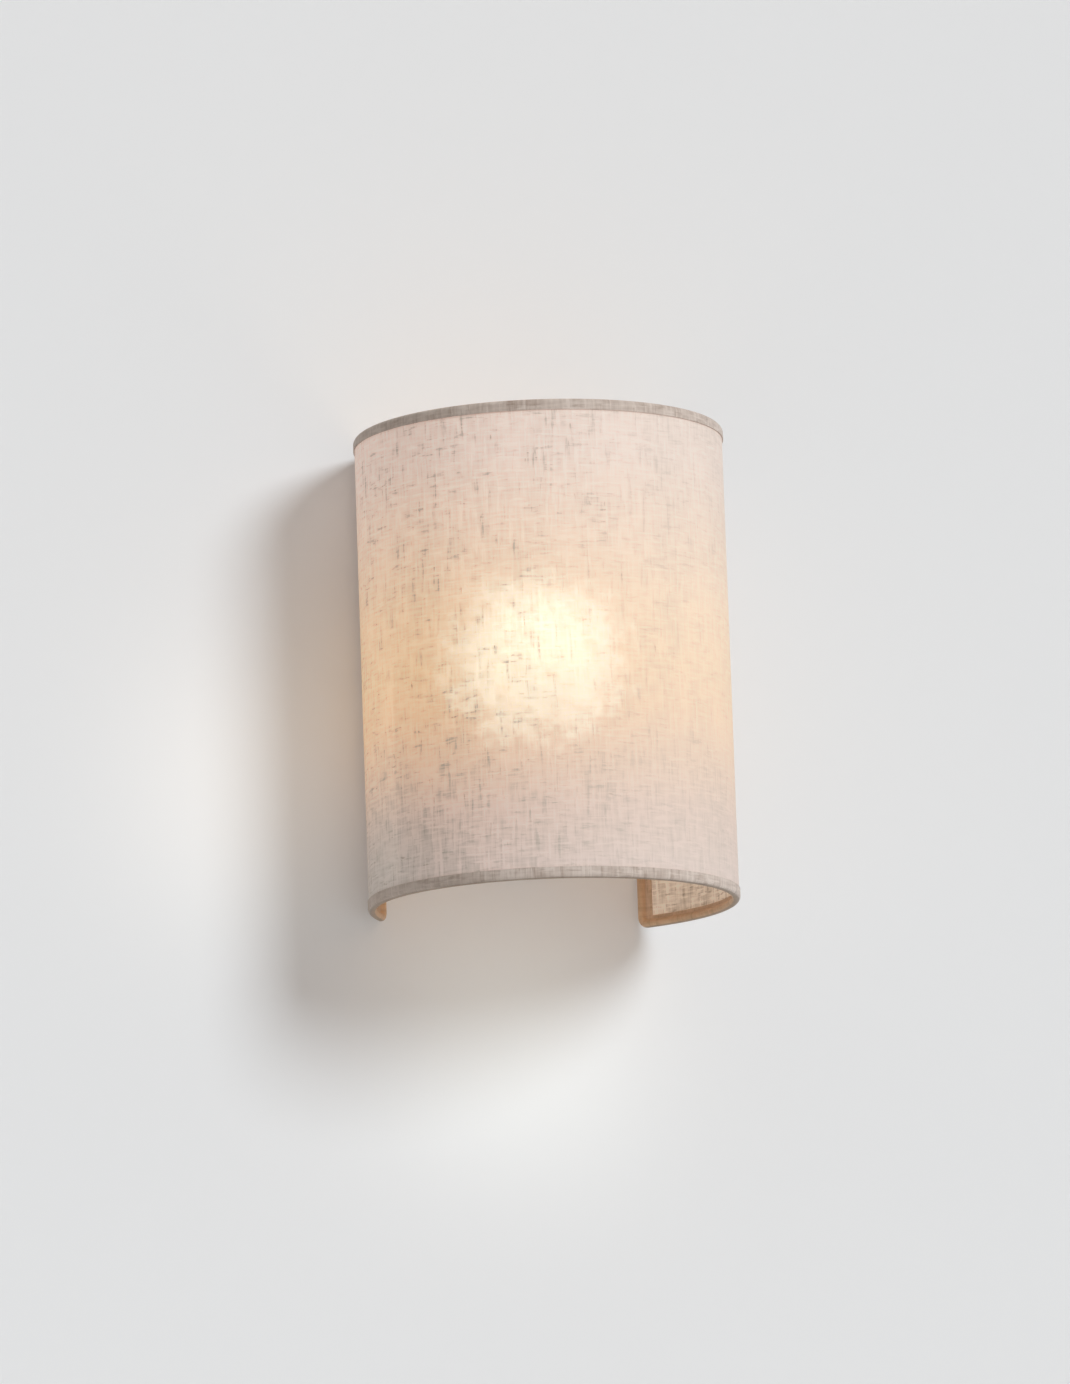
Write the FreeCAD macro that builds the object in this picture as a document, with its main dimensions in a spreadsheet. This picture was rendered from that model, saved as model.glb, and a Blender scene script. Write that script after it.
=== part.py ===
"""Fabric shade wall light: a tall C-shaped shade, more than half a cylinder, that hangs
on a slim wall unit with one screw-in bulb.

Frame, in millimetres: the wall is the plane y = 0 and the light stands in front of it
towards -Y, X runs to the right and Z up. The origin is the centre of the wall plate's
back face, at half the height of the shade.
"""
import FreeCAD, Part

import math
import os
import re

import Sketcher

# Driving dimensions: alias -> (millimetres or degrees, meaning).
SIZES = {
    # shade
    "shade_radius": (100.0, "outside of the bound shade, from the shade's own axis"),
    "shade_height": (258.0, "over the rolled hems"),
    "half_sweep": (126.0, "degrees of arc from the front of the shade to each rear strip"),
    "rear_gap": (2.0, "between the rear hems and the wall"),
    "linen_thick": (0.5, "woven cover"),
    "liner_thick": (0.4, "stiff sheet that the cover is laminated to"),
    "tape_thick": (0.5, "folded binding tape"),
    "layer_gap": (0.1, "clearance between the tape and what it wraps"),
    "wire_size": (2.5, "diameter of the frame wire inside the hems"),
    "hem_band": (6.0, "height of the top and bottom tape outside"),
    "inner_band": (6.6, "height of the tape on the room side of the liner"),
    "edge_band": (8.5, "width of the tape along the rear edges"),
    "corner_bend": (3.5, "bend of the frame wire at the four corners"),
    "tuck": (5.2, "depth at which the rolled tape lies back on the liner"),
    # hanger bar
    "bar_thick": (2.0, "flat hanger bar, front to back"),
    "bar_tall": (14.0, "flat hanger bar"),
    "hang_gap": (0.3, "clearance between the hanger bar and its hooks"),
    "notch_deep": (1.5, "notch in the bar over each hook"),
    "slit_gap": (0.5, "clearance of the bar in the slit of the tape"),
    "cope_gap": (0.02, "between the bar's hollow end and the upright"),
    # wall plate
    "plate_wide": (90.0, "wall plate, side to side"),
    "plate_top": (60.0, "upper edge above the origin"),
    "plate_drop": (85.0, "lower edge under the origin"),
    "plate_thick": (2.0, "sheet steel"),
    "plate_corner": (8.0, "rounding of the lower corners"),
    "hook_spread": (60.0, "between the two hooks"),
    "hook_wide": (12.0, "one folded hook"),
    "hook_lip": (7.0, "rise of the hook in front of the bar"),
    "fold_bend": (2.4, "outer radius of a fold"),
    "slot_spread": (60.0, "between the two wall screw slots"),
    "slot_size": (5.0, "height of a wall screw slot"),
    "slot_run": (14.0, "overall length of a wall screw slot"),
    # cable inlet
    "inlet_lift": (45.0, "inlet above the origin, clear of the globe's crown"),
    "inlet_bore": (9.0, "bore of the rubber grommet"),
    "inlet_hole": (13.0, "hole in the plate"),
    "grommet_flange": (17.0, "diameter of the grommet's flange"),
    "grommet_lip": (1.6, "thickness of the flange in front of the plate"),
    "grommet_gap": (0.1, "between the grommet's neck and the hole"),
    "back_inset": (0.2, "pieces in the plate that stay off the wall"),
    # lamp bracket
    "lamp_reach": (62.0, "bulb axis in front of the wall"),
    "bracket_wide": (20.0, "lamp bracket, side to side"),
    "bracket_thick": (2.5, "zinc-plated strip"),
    "bracket_rise": (42.0, "upright leg of the bracket"),
    "bracket_seat": (-88.0, "top of the shelf, under the lampholder"),
    "bracket_nose": (14.0, "shelf beyond the bulb axis"),
    "nose_round": (0.95, "share of the shelf's half width that its front corners are rounded"),
    "fix_shank": (3.0, "screw size of the bracket fixing"),
    "fix_head": (5.6, "countersunk head"),
    "fix_gap": (0.05, "clearance of the bracket screws in their holes, on the radius"),
    "fix_pitch": (20.0, "between the two bracket screws"),
    "fix_rise": (14.0, "lower bracket screw above the shelf"),
    "fix_sink": (0.1, "screw heads under the plate's back face"),
    "fix_spare": (3.4, "bracket screw beyond the bracket"),
    "nut_flats": (5.5, "bracket nut across flats"),
    "nut_tall": (2.4, "bracket nut"),
    # lampholder
    "nipple_size": (10.0, "hollow threaded nipple"),
    "nipple_bore": (7.6, "way for the leads through the nipple"),
    "nipple_gap": (0.1, "clearance of the nipple in the shelf"),
    "socket_gap": (0.05, "clearance of the nipple in the dome and the locknut"),
    "nipple_drop": (6.0, "nipple under the shelf"),
    "locknut_flats": (13.0, "across flats"),
    "locknut_tall": (3.0, "nut under the shelf"),
    "holder_size": (39.0, "outside of the lampholder"),
    "holder_wall": (2.0, "plastic wall of the lampholder"),
    "dome_tall": (24.0, "lower half of the lampholder"),
    "dome_foot": (12.0, "radius of the dome's flat foot"),
    "dome_shoulder": (8.0, "height at which the dome is full wide"),
    "dome_floor": (8.0, "floor of the dome, which takes the nipple"),
    "dome_ledge": (1.5, "ledge that the core sits on"),
    "notch_wide": (12.0, "opening for the leads at the back of the dome"),
    "notch_low": (9.5, "lower edge of that opening above the shelf"),
    "notch_tall": (5.0, "height of that opening"),
    "sleeve_tall": (25.0, "upper half of the lampholder"),
    "core_tall": (8.0, "from the core's underside to the joint of dome and sleeve"),
    "core_thick": (4.0, "plate of the core that carries the contacts"),
    "core_gap": (0.1, "clearance of the core in the dome"),
    "spring_tall": (2.7, "spring contact above the core"),
    "spring_foot": (4.0, "radius of the spring contact's foot"),
    "spring_plate": (0.6, "thickness of that foot"),
    "spring_head": (1.8, "radius of the contact's flat top"),
    "pole_screw_radius": (2.6, "head of a lampholder terminal screw"),
    "pole_screw_tall": (1.6, "that head"),
    "pole_screw_side": (4.0, "terminal screw beside the axis"),
    "pole_screw_front": (10.0, "terminal screw behind the axis"),
    "mouth_radius": (14.2, "opening at the top of the lampholder"),
    "mouth_round": (2.0, "broken edge at the top of the lampholder"),
    "shell_thick": (0.5, "metal of the thread shell"),
    "shell_hole": (7.0, "hole radius in the floor of the shell"),
    "shell_rim": (22.7, "rim of the shell above the bulb's contact"),
    "thread_depth": (0.7, "from crest to root of the round thread"),
    "cap_crest": (26.2, "outside of the bulb's thread"),
    "thread_gap": (0.45, "between the bulb's cap and the shell, on the radius"),
    "contact_gap": (0.3, "between the bulb's contact and the spring contact"),
    # bulb
    "bulb_length": (105.0, "from contact to crown"),
    "globe_size": (60.0, "diameter of the opal globe"),
    "globe_wall": (1.4, "opal plastic"),
    "crown_flat": (0.2, "share of the globe's radius that is flat at its crown"),
    "seam_drop": (17.0, "globe's seam under its middle"),
    "cap_tall": (26.0, "screw cap with its contact"),
    "cap_neck": (10.0, "radius of the cap's lower edge"),
    "cap_start": (7.0, "threaded part above the contact"),
    "cap_flare": (0.35, "cap's rim beyond its thread"),
    "rim_tall": (2.4, "cap's plain rim"),
    "insulator_tall": (4.8, "top of the insulator above the contact"),
    "insulator_foot": (5.2, "radius of the insulator at the contact"),
    "tip_tall": (1.6, "bulb's contact"),
    "tip_radius": (4.6, "bulb's contact"),
    "tip_flat": (2.4, "radius of the contact's flat"),
    "collar_step": (0.4, "plastic body beyond the cap's rim"),
    "collar_foot": (3.0, "straight foot of the plastic body"),
    "collar_waist": (0.6, "share of the body's height where its flare sets in"),
    "collar_swell": (0.33, "share of the flare reached there"),
    # terminal block
    "pole_pitch": (10.0, "between the three poles"),
    "block_tall": (17.0, "terminal block along its tubes"),
    "block_deep": (14.0, "terminal block off the plate"),
    "block_base": (4.0, "underside above the origin"),
    "tube_depth": (5.5, "axis of a pole in front of the plate"),
    "tube_size": (5.0, "brass tube in a pole"),
    "tube_bore": (3.2, "way for a lead in the tube"),
    "tube_gap": (0.05, "clearance of the tubes in the block"),
    "tube_share": (0.9, "length of the tubes as a share of the block's"),
    "clamp_size": (3.0, "clamp screw of a pole"),
    "clamp_gap": (0.1, "clearance of the clamp screws in the block"),
    "clamp_sink": (1.5, "clamp screws under the towers' tops"),
    "tower_wall": (1.3, "wall of the tower round a clamp screw"),
    "block_cover": (1.0, "plastic in front of the tubes"),
    "block_screw": (2.9, "screw that holds the block"),
    "block_head": (4.6, "its head"),
    "block_head_tall": (1.6, "its head"),
    "thread_clear": (0.05, "clearance of screws in tapped holes"),
    # wires
    "wire_cover": (2.2, "insulated lead"),
    "lead_gap": (0.15, "clearance of the lead in the barrel"),
    "earth_side": (24.0, "earth screw left of the centre"),
    "earth_drop": (45.0, "earth screw under the origin"),
    "earth_screw": (4.0, "earth screw"),
    "earth_head": (7.0, "its head"),
    "earth_head_tall": (2.4, "its head"),
    "lug_wide": (8.0, "ring of the earth terminal"),
    "lug_thick": (0.8, "sheet of the earth terminal"),
    "tongue_wide": (3.0, "between the ring and the barrel"),
    "barrel_rise": (5.0, "barrel above the earth screw"),
    "barrel_tall": (7.0, "crimped barrel"),
    "barrel_wall": (0.6, "crimped barrel"),
}

# Worked out from the driving dimensions by the sheet itself.
DERIVED = {
    "roll": "(2 * tape_thick + 2 * layer_gap + linen_thick + liner_thick + wire_size + layer_gap) / 2",
    "linen_in": "tape_thick + layer_gap",
    "liner_in": "linen_in + linen_thick",
    "shell_in": "liner_in + liner_thick",
    "wire_in": "shell_in + layer_gap + wire_size / 2",
    "wrap_in": "wire_size / 2 + layer_gap",
    "wrap_out": "wrap_in + tape_thick",
    "edge_mid": "edge_band - roll",
    "half_tall": "shade_height / 2",
    "rear_depth": "-(shade_radius - roll) * cos(half_sweep) + edge_mid * sin(half_sweep) + roll",
    "axis_front": "rear_gap + rear_depth",
    "wire_side": "(shade_radius - wire_in) * sin(half_sweep) + edge_mid * cos(half_sweep)",
    "wire_front": "axis_front + (shade_radius - wire_in) * cos(half_sweep) - edge_mid * sin(half_sweep)",
    "bar_base": "plate_top + hang_gap - notch_deep",
    "lip_front": "wire_front + bar_thick / 2 + hang_gap + plate_thick",
    "core_level": "bracket_seat + dome_tall - core_tall",
    "contact_level": "core_level + core_thick + spring_tall + contact_gap",
    "globe_level": "contact_level + bulb_length - globe_size / 2",
    "collar_tall": "bulb_length - globe_size / 2 - seam_drop - cap_tall",
    "seam_radius": "sqrt(globe_size ^ 2 / 4 - seam_drop ^ 2)",
    "thread_mean": "cap_crest / 2 - thread_depth / 2",
    "block_mid": "block_base + block_tall / 2",
}

# Edges of the globe's bands, outside and in its hollow, in degrees above its middle.
GLOBE_ANGLES = (0, 28, 56)
HOLLOW_ANGLES = (60, 12)

doc = FreeCAD.newDocument("WallLight")
sheet = doc.addObject("Spreadsheet::Sheet", "Sizes")


def named(expression):
    """Put the sheet's name before every alias of an expression."""
    aliases = sorted(list(SIZES) + list(DERIVED), key=len, reverse=True)
    return re.sub(r"\b(" + "|".join(aliases) + r")\b", r"Sizes.\1", str(expression))


def fill_sheet():
    """Write the driving dimensions and the worked-out ones."""
    row = 0
    for alias, (number, meaning) in SIZES.items():
        row += 1
        sheet.set("A%d" % row, meaning or alias.replace("_", " "))
        sheet.set("B%d" % row, str(number))
        sheet.setAlias("B%d" % row, alias)
    for alias, formula in DERIVED.items():
        row += 1
        sheet.set("A%d" % row, alias.replace("_", " "))
        sheet.set("B%d" % row, "=" + formula)
        sheet.setAlias("B%d" % row, alias)
    doc.recompute()


def size(expression):
    """The number that an expression of aliases stands for."""
    found = sheet.evalExpression(named(expression))
    return float(getattr(found, "Value", found))


def place(thing, x=0, y=0, z=0, turn=None, about=(0, 0, 1)):
    """Give an object a Placement bound to the sheet."""
    angle = size(turn) if turn is not None else 0
    spin = FreeCAD.Rotation(FreeCAD.Vector(*about), angle)
    thing.Placement = FreeCAD.Placement(FreeCAD.Vector(size(x), size(y), size(z)), spin)
    for letter, expression in (("x", x), ("y", y), ("z", z)):
        thing.setExpression("Placement.Base." + letter, named(expression))
    if turn is not None:
        thing.setExpression("Placement.Rotation.Angle", "(" + named(turn) + ") * 1 deg")
    return thing


def body(label, x=0, y=0, z=0, turn=None, about=(0, 0, 1)):
    """A new named body at its place."""
    made = doc.addObject("PartDesign::Body", label)
    made.Label = label
    return place(made, x, y, z, turn, about)


def sketch(owner, plane, depth=0):
    """A new sketch on an origin plane, moved along the plane's normal by depth."""
    made = owner.newObject("Sketcher::SketchObject", owner.Name + "_sketch")
    found = [item for item in owner.Origin.OriginFeatures if item.Role == plane + "_Plane"]
    made.AttachmentSupport = [(found[0], "")]
    made.MapMode = "FlatFace"
    made.AttachmentOffset = FreeCAD.Placement(FreeCAD.Vector(0, 0, size(depth)), FreeCAD.Rotation())
    made.setExpression("AttachmentOffset.Base.z", named(depth))
    return made


def bind(owner, kind, *where, to):
    """Add a constraint that follows an expression."""
    index = owner.addConstraint(Sketcher.Constraint(kind, *where, size(to)))
    owner.setExpression("Constraints[%d]" % index, named(to))


def arc_between(start, end, radius):
    """The shorter arc from start to end: a positive radius turns left, a negative right."""
    chord = end - start
    across = FreeCAD.Vector(-chord.y, chord.x, 0)
    across.normalize()
    reach = max(radius * radius - chord.Length ** 2 / 4, 0) ** 0.5
    centre = (start + end) * 0.5 + across * (reach if radius > 0 else -reach)
    first, last = (start, end) if radius > 0 else (end, start)
    zero = FreeCAD.Vector(1, 0, 0)
    angles = []
    for point in (first, last):
        ray = point - centre
        angle = zero.getAngle(ray)
        angles.append(angle if ray.y >= 0 else -angle)
    if angles[1] <= angles[0]:
        angles[1] += 2 * math.pi
    circle = Part.Circle(centre, FreeCAD.Vector(0, 0, 1), abs(radius))
    return Part.ArcOfCircle(circle, angles[0], angles[1])


def outline(owner, corners, closed=True):
    """Draw corners (x, y) or (x, y, radius), where the radius bends the edge that leaves."""
    spots = [FreeCAD.Vector(size(corner[0]), size(corner[1]), 0) for corner in corners]
    count = len(corners) if closed else len(corners) - 1
    ends = []
    for index in range(count):
        start, end = spots[index], spots[(index + 1) % len(spots)]
        bend = corners[index][2] if len(corners[index]) > 2 else None
        if bend is None:
            edge = owner.addGeometry(Part.LineSegment(start, end), False)
            ends.append((edge, 1, 2))
        else:
            edge = owner.addGeometry(arc_between(start, end, size(bend)), False)
            ends.append((edge, 1, 2) if size(bend) > 0 else (edge, 2, 1))
            bind(owner, "Radius", edge, to="abs(" + str(bend) + ")")
    for index in range(count if closed else count - 1):
        after = ends[(index + 1) % count]
        here = ends[index]
        owner.addConstraint(Sketcher.Constraint("Coincident", here[0], here[2], after[0], after[1]))
    for index, corner in enumerate(corners):
        edge, near, far = ends[min(index, count - 1)]
        point = near if index < count else far
        bind(owner, "DistanceX", edge, point, to=corner[0])
        bind(owner, "DistanceY", edge, point, to=corner[1])
    return owner


def ring(owner, x, y, radius):
    """Draw a circle."""
    centre = FreeCAD.Vector(size(x), size(y), 0)
    edge = owner.addGeometry(Part.Circle(centre, FreeCAD.Vector(0, 0, 1), size(radius)), False)
    bind(owner, "DistanceX", edge, 3, to=x)
    bind(owner, "DistanceY", edge, 3, to=y)
    bind(owner, "Radius", edge, to=radius)
    return owner


def box_outline(owner, left, low, right, high):
    """Draw a rectangle by its sides."""
    return outline(owner, [(left, low), (right, low), (right, high), (left, high)])


def extrude(kind, drawn, length, reverse=False, both=False):
    """Pad or Pocket of a sketch; the result is the body's tip."""
    owner = drawn.getParentGeoFeatureGroup()
    made = owner.newObject("PartDesign::" + kind, owner.Name + "_" + kind.lower())
    made.Profile = drawn
    made.Reversed = reverse
    made.SideType = "Symmetric" if both else "One side"
    made.Length = size(length)
    made.setExpression("Length", named(length))
    doc.recompute()
    return made


def pad(drawn, length, reverse=False, both=False):
    return extrude("Pad", drawn, length, reverse, both)


def pocket(drawn, length, reverse=False, both=False):
    """Cut a sketch's shape and make sure that it took something away."""
    owner = drawn.getParentGeoFeatureGroup()
    before = owner.Shape.Volume
    made = extrude("Pocket", drawn, length, reverse, both)
    if not made.Shape.Volume < before - 0.01:
        raise ValueError(owner.Label + ": a pocket cuts nothing")
    return made


def revolve(drawn, sweep=360, kind="Revolution"):
    """Turn a sketch about its own upright axis, to both sides of its plane."""
    owner = drawn.getParentGeoFeatureGroup()
    made = owner.newObject("PartDesign::" + kind, owner.Name + "_" + kind.lower())
    made.Profile = drawn
    made.ReferenceAxis = (drawn, ["V_Axis"])
    made.Angle = size(sweep)
    made.setExpression("Angle", named(sweep))
    made.Midplane = size(sweep) < 360
    doc.recompute()
    return made


def pipe(section, spine):
    """Sweep a section along a spine sketch."""
    owner = section.getParentGeoFeatureGroup()
    made = owner.newObject("PartDesign::AdditivePipe", owner.Name + "_pipe")
    made.Profile = section
    made.Spine = spine
    doc.recompute()
    return made


def turned(label, corners, x=0, y=0, z=0):
    """A full turned piece from its half section."""
    made = body(label, x, y, z)
    revolve(outline(sketch(made, "XZ"), corners))
    return made


def mirrored(source, label):
    """The same piece for the other side of the light."""
    made = doc.addObject("Part::Mirroring", label)
    made.Label = label
    made.Source = source
    made.Normal = (1, 0, 0)
    return made


def group(label, pieces):
    """Several like pieces that share one node."""
    made = doc.addObject("Part::Compound", label)
    made.Label = label
    made.Links = pieces
    return made


# ---------------------------------------------------------------- shade cloth and hems

def shell(label, inward, thick):
    """One layer of the shade: a C of cloth or sheet with straight strips at the wall."""
    made = body(label, 0, "-axis_front", 0)
    outer = "(shade_radius - %s)" % inward
    inner = "(shade_radius - %s - %s)" % (inward, thick)

    def rim(radius, side, strip):
        """A point of the section: at the end of the arc, or at the end of the strip."""
        x = "%s * sin(half_sweep) + %s * cos(half_sweep)" % (radius, strip)
        y = "-%s * cos(half_sweep) + %s * sin(half_sweep)" % (radius, strip)
        return "%d * (%s)" % (side, x), y

    corners = [
        rim(outer, -1, 0) + (outer,), ("-" + outer, "0", outer), ("0", "-" + outer, outer),
        (outer, "0", outer), rim(outer, 1, 0), rim(outer, 1, "edge_mid"),
        rim(inner, 1, "edge_mid"), rim(inner, 1, 0) + ("-" + inner,), (inner, "0", "-" + inner),
        ("0", "-" + inner, "-" + inner), ("-" + inner, "0", "-" + inner),
        rim(inner, -1, 0), rim(inner, -1, "edge_mid"), rim(outer, -1, "edge_mid"),
    ]
    pad(outline(sketch(made, "XY"), corners), "shade_height - 2 * roll", both=True)
    high = size("half_tall - roll")
    rear = size("axis_front - rear_gap - 3 * roll")
    round_edges(made, "corner_bend", lambda start, end: abs(start.z - end.z) < 0.01
                and abs(abs(start.z) - high) < 0.01 and (start - end).Length < size(thick) + 0.1
                and start.y > rear)
    return made


def round_edges(owner, radius, wanted):
    """Fillet the straight edges whose two ends satisfy a test."""
    edges = []
    for index, edge in enumerate(owner.Tip.Shape.Edges):
        ends = [vertex.Point for vertex in edge.Vertexes]
        if len(ends) == 2 and wanted(*ends):
            edges.append("Edge%d" % (index + 1))
    if not edges:
        raise ValueError(owner.Label + ": no edge to round")
    base = owner.Tip
    made = owner.newObject("PartDesign::Fillet", owner.Name + "_rounding")
    made.Base = (base, edges)
    made.Radius = size(radius)
    made.setExpression("Radius", named(radius))
    doc.recompute()
    return made


def hem_section(owner, inward, upward, band, tuck):
    """The tape's section: outer leg, roll round the wire in flats, and the leg on the liner.

    inward(p) and upward(q) turn the depth from the outside and from the fold into
    sketch coordinates. The roll has the flats of an octagon, which keep the tape's
    thickness all the way round.
    """
    octagon = "0.41421356"
    lean = "0.57735027"
    line_end = "shell_in + layer_gap + tape_thick"
    line_start = "shell_in + layer_gap"
    hollow = "%s * (roll - tape_thick)" % octagon
    path = [
        ("0", band), ("0", "roll - %s * roll" % octagon), ("roll - %s * roll" % octagon, "0"),
        ("roll + %s * roll" % octagon, "0"), ("2 * roll", "roll - %s * roll" % octagon),
        ("2 * roll", "roll + %s * wrap_out" % lean),
        (line_end, "roll + %s * (wrap_out + 2 * roll - (%s))" % (lean, line_end)),
        (line_end, tuck), (line_start, tuck),
        (line_start, "roll + %s * (wrap_in + 2 * roll - tape_thick - (%s))" % (lean, line_start)),
        ("2 * roll - tape_thick", "roll + %s * wrap_in" % lean),
        ("2 * roll - tape_thick", "roll - " + hollow), ("roll + " + hollow, "tape_thick"),
        ("roll - " + hollow, "tape_thick"), ("tape_thick", "roll - " + hollow),
        ("tape_thick", band),
    ]
    return outline(owner, [(inward(across), upward(along)) for across, along in path])


def level_hem(label, top):
    """The top or bottom hem: the section turned about the shade's axis."""
    made = body(label, 0, "-axis_front", 0, turn="-90")

    def inward(depth):
        return "shade_radius - (%s)" % depth

    def upward(depth):
        return ("half_tall - (%s)" if top else "-half_tall + (%s)") % depth

    section = hem_section(sketch(made, "XZ"), inward, upward, "hem_band", "inner_band")
    revolve(section, "2 * half_sweep")
    return made


def at_rear_strip(label):
    """A body whose X runs along the right rear strip to the wall and Y into the shade."""
    return body(label, "shade_radius * sin(half_sweep)",
                "-axis_front - shade_radius * cos(half_sweep)", 0, turn="half_sweep")


def corner_path(owner):
    """The line of the frame wire along one rear edge, with its two corner bends."""
    high = "(half_tall - roll)"
    return outline(owner, [
        ("0", high), ("edge_mid - corner_bend", high, "-corner_bend"),
        ("edge_mid", high + " - corner_bend"),
        ("edge_mid", "-" + high + " + corner_bend", "-corner_bend"),
        ("edge_mid - corner_bend", "-" + high), ("0", "-" + high),
    ], closed=False)


def rounded_leg(owner, inset):
    """A leg of the rear hem: a strip with its two outer corners rounded."""
    high = "(half_tall - %s)" % inset
    wide = "(edge_band - %s)" % inset
    bend = "(corner_bend + roll - %s)" % inset
    return outline(owner, [
        ("0", "-" + high), (wide + " - " + bend, "-" + high, bend),
        (wide, "-" + high + " + " + bend), (wide, high + " - " + bend, bend),
        (wide + " - " + bend, high), ("0", high),
    ])


def edge_hem(label):
    """The right rear hem: tape rolled round the upright and both corner bends."""
    made = at_rear_strip(label)

    def inward(depth):
        return depth

    def upward(depth):
        return "half_tall - (%s)" % depth

    section = hem_section(sketch(made, "YZ"), inward, upward, "roll", "tuck")
    spine = corner_path(sketch(made, "XZ", "-roll"))
    pipe(section, spine)
    pad(rounded_leg(sketch(made, "XZ"), "roll"), "tape_thick", reverse=True)
    lining = "-(shell_in + layer_gap)"
    pad(rounded_leg(sketch(made, "XZ", lining), "tuck"), "tape_thick", reverse=True)
    slit = box_outline(sketch(made, "XZ", "-roll"), "edge_mid - tape_thick",
                       "bar_base - slit_gap", "2 * edge_band", "bar_base + bar_tall + slit_gap")
    pocket(slit, "2 * roll")
    return made


def wire_section(owner, across, level):
    """Section of the frame wire, six-sided."""
    corners = []
    for turn in range(0, 360, 60):
        corners.append(("%s + wire_size / 2 * cos(%d)" % (across, turn),
                        "%s + wire_size / 2 * sin(%d)" % (level, turn)))
    return outline(owner, corners)


def frame_ring(label, top):
    """The top or bottom frame wire: an arc that meets the uprights' bends."""
    level = "half_tall - roll" if top else "-half_tall + roll"
    made = body(label, 0, "-axis_front", 0, turn="-90")
    revolve(wire_section(sketch(made, "XZ"), "shade_radius - wire_in", level), "2 * half_sweep")
    return made


def frame_upright(label):
    """The upright frame wire of the right rear edge with its corner bends."""
    made = at_rear_strip(label)
    section = wire_section(sketch(made, "YZ"), "wire_in", "half_tall - roll")
    pipe(section, corner_path(sketch(made, "XZ", "-wire_in")))
    return made


def hanger_bar():
    """The flat bar across the back, coped onto the uprights and notched for the hooks."""
    made = body("hanger_bar", 0, "-wire_front", "bar_base")
    notch = "(hook_spread - hook_wide - 2 * hang_gap) / 2"
    notch_out = "(hook_spread + hook_wide + 2 * hang_gap) / 2"
    half = [("0", "0"), (notch, "0"), (notch, "notch_deep"), (notch_out, "notch_deep"), (notch_out, "0"),
            ("wire_side", "0"), ("wire_side", "bar_tall"), ("0", "bar_tall")]
    other = [("-(%s)" % x, y) for x, y in reversed(half[1:-1])]
    pad(outline(sketch(made, "XZ"), half[1:-1] + other), "bar_thick", both=True)
    coped = sketch(made, "XY")
    ring(coped, "wire_side", "0", "wire_size / 2 + cope_gap")
    ring(coped, "-wire_side", "0", "wire_size / 2 + cope_gap")
    pocket(coped, "2 * bar_tall", reverse=True)
    return made


# ---------------------------------------------------------------- wall plate and bracket

def wall_plate():
    """Sheet steel plate with two folded hooks, wall slots, the inlet and tapped holes."""
    made = body("wall_plate")
    side = "plate_wide / 2"
    low = "-plate_drop"
    drawn = outline(sketch(made, "XZ"), [
        ("-(%s) + plate_corner" % side, low), ("%s - plate_corner" % side, low, "plate_corner"),
        (side, low + " + plate_corner"), (side, "plate_top"), ("-" + side, "plate_top"),
        ("-" + side, low + " + plate_corner", "plate_corner"),
    ])
    pad(drawn, "plate_thick")
    for side_sign in (-1, 1):
        fold = sketch(made, "YZ", "%d * hook_spread / 2" % side_sign)
        front = "-lip_front"
        lip_back = "-(lip_front - plate_thick)"
        under = "plate_top - plate_thick"
        outline(fold, [
            ("0", under), (front + " + fold_bend", under, "-fold_bend"),
            (front, under + " + fold_bend"), (front, "plate_top + hook_lip"),
            (lip_back, "plate_top + hook_lip"), (lip_back, "plate_top"), ("0", "plate_top"),
        ])
        pad(fold, "hook_wide", both=True)
    for side_sign in (-1, 1):
        middle = "(%d * slot_spread / 2)" % side_sign
        run = "(slot_run - slot_size) / 2"
        rise = "slot_size / 2"
        slot = outline(sketch(made, "XZ"), [
            ("%s - %s" % (middle, run), "-" + rise), ("%s + %s" % (middle, run), "-" + rise, rise),
            ("%s + %s + %s" % (middle, run, rise), "0", rise), ("%s + %s" % (middle, run), rise),
            ("%s - %s" % (middle, run), rise, rise), ("%s - %s - %s" % (middle, run, rise), "0", rise),
        ])
        pocket(slot, "4 * plate_thick", both=True)
    pocket(ring(sketch(made, "XZ"), "0", "inlet_lift", "inlet_hole / 2"), "4 * plate_thick", both=True)
    holes = sketch(made, "XZ")
    ring(holes, "pole_pitch / 2", "block_mid", "block_screw / 2 + thread_clear")
    ring(holes, "-pole_pitch / 2", "block_mid", "block_screw / 2 + thread_clear")
    ring(holes, "-earth_side", "-earth_drop", "earth_screw / 2")
    pocket(holes, "4 * plate_thick", both=True)
    for level in bracket_levels():
        sink_cone(made, level)
    return made


def bracket_levels():
    """Heights of the two countersunk bracket screws."""
    first = "(bracket_seat + fix_rise)"
    return [first, first + " + fix_pitch"]


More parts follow.
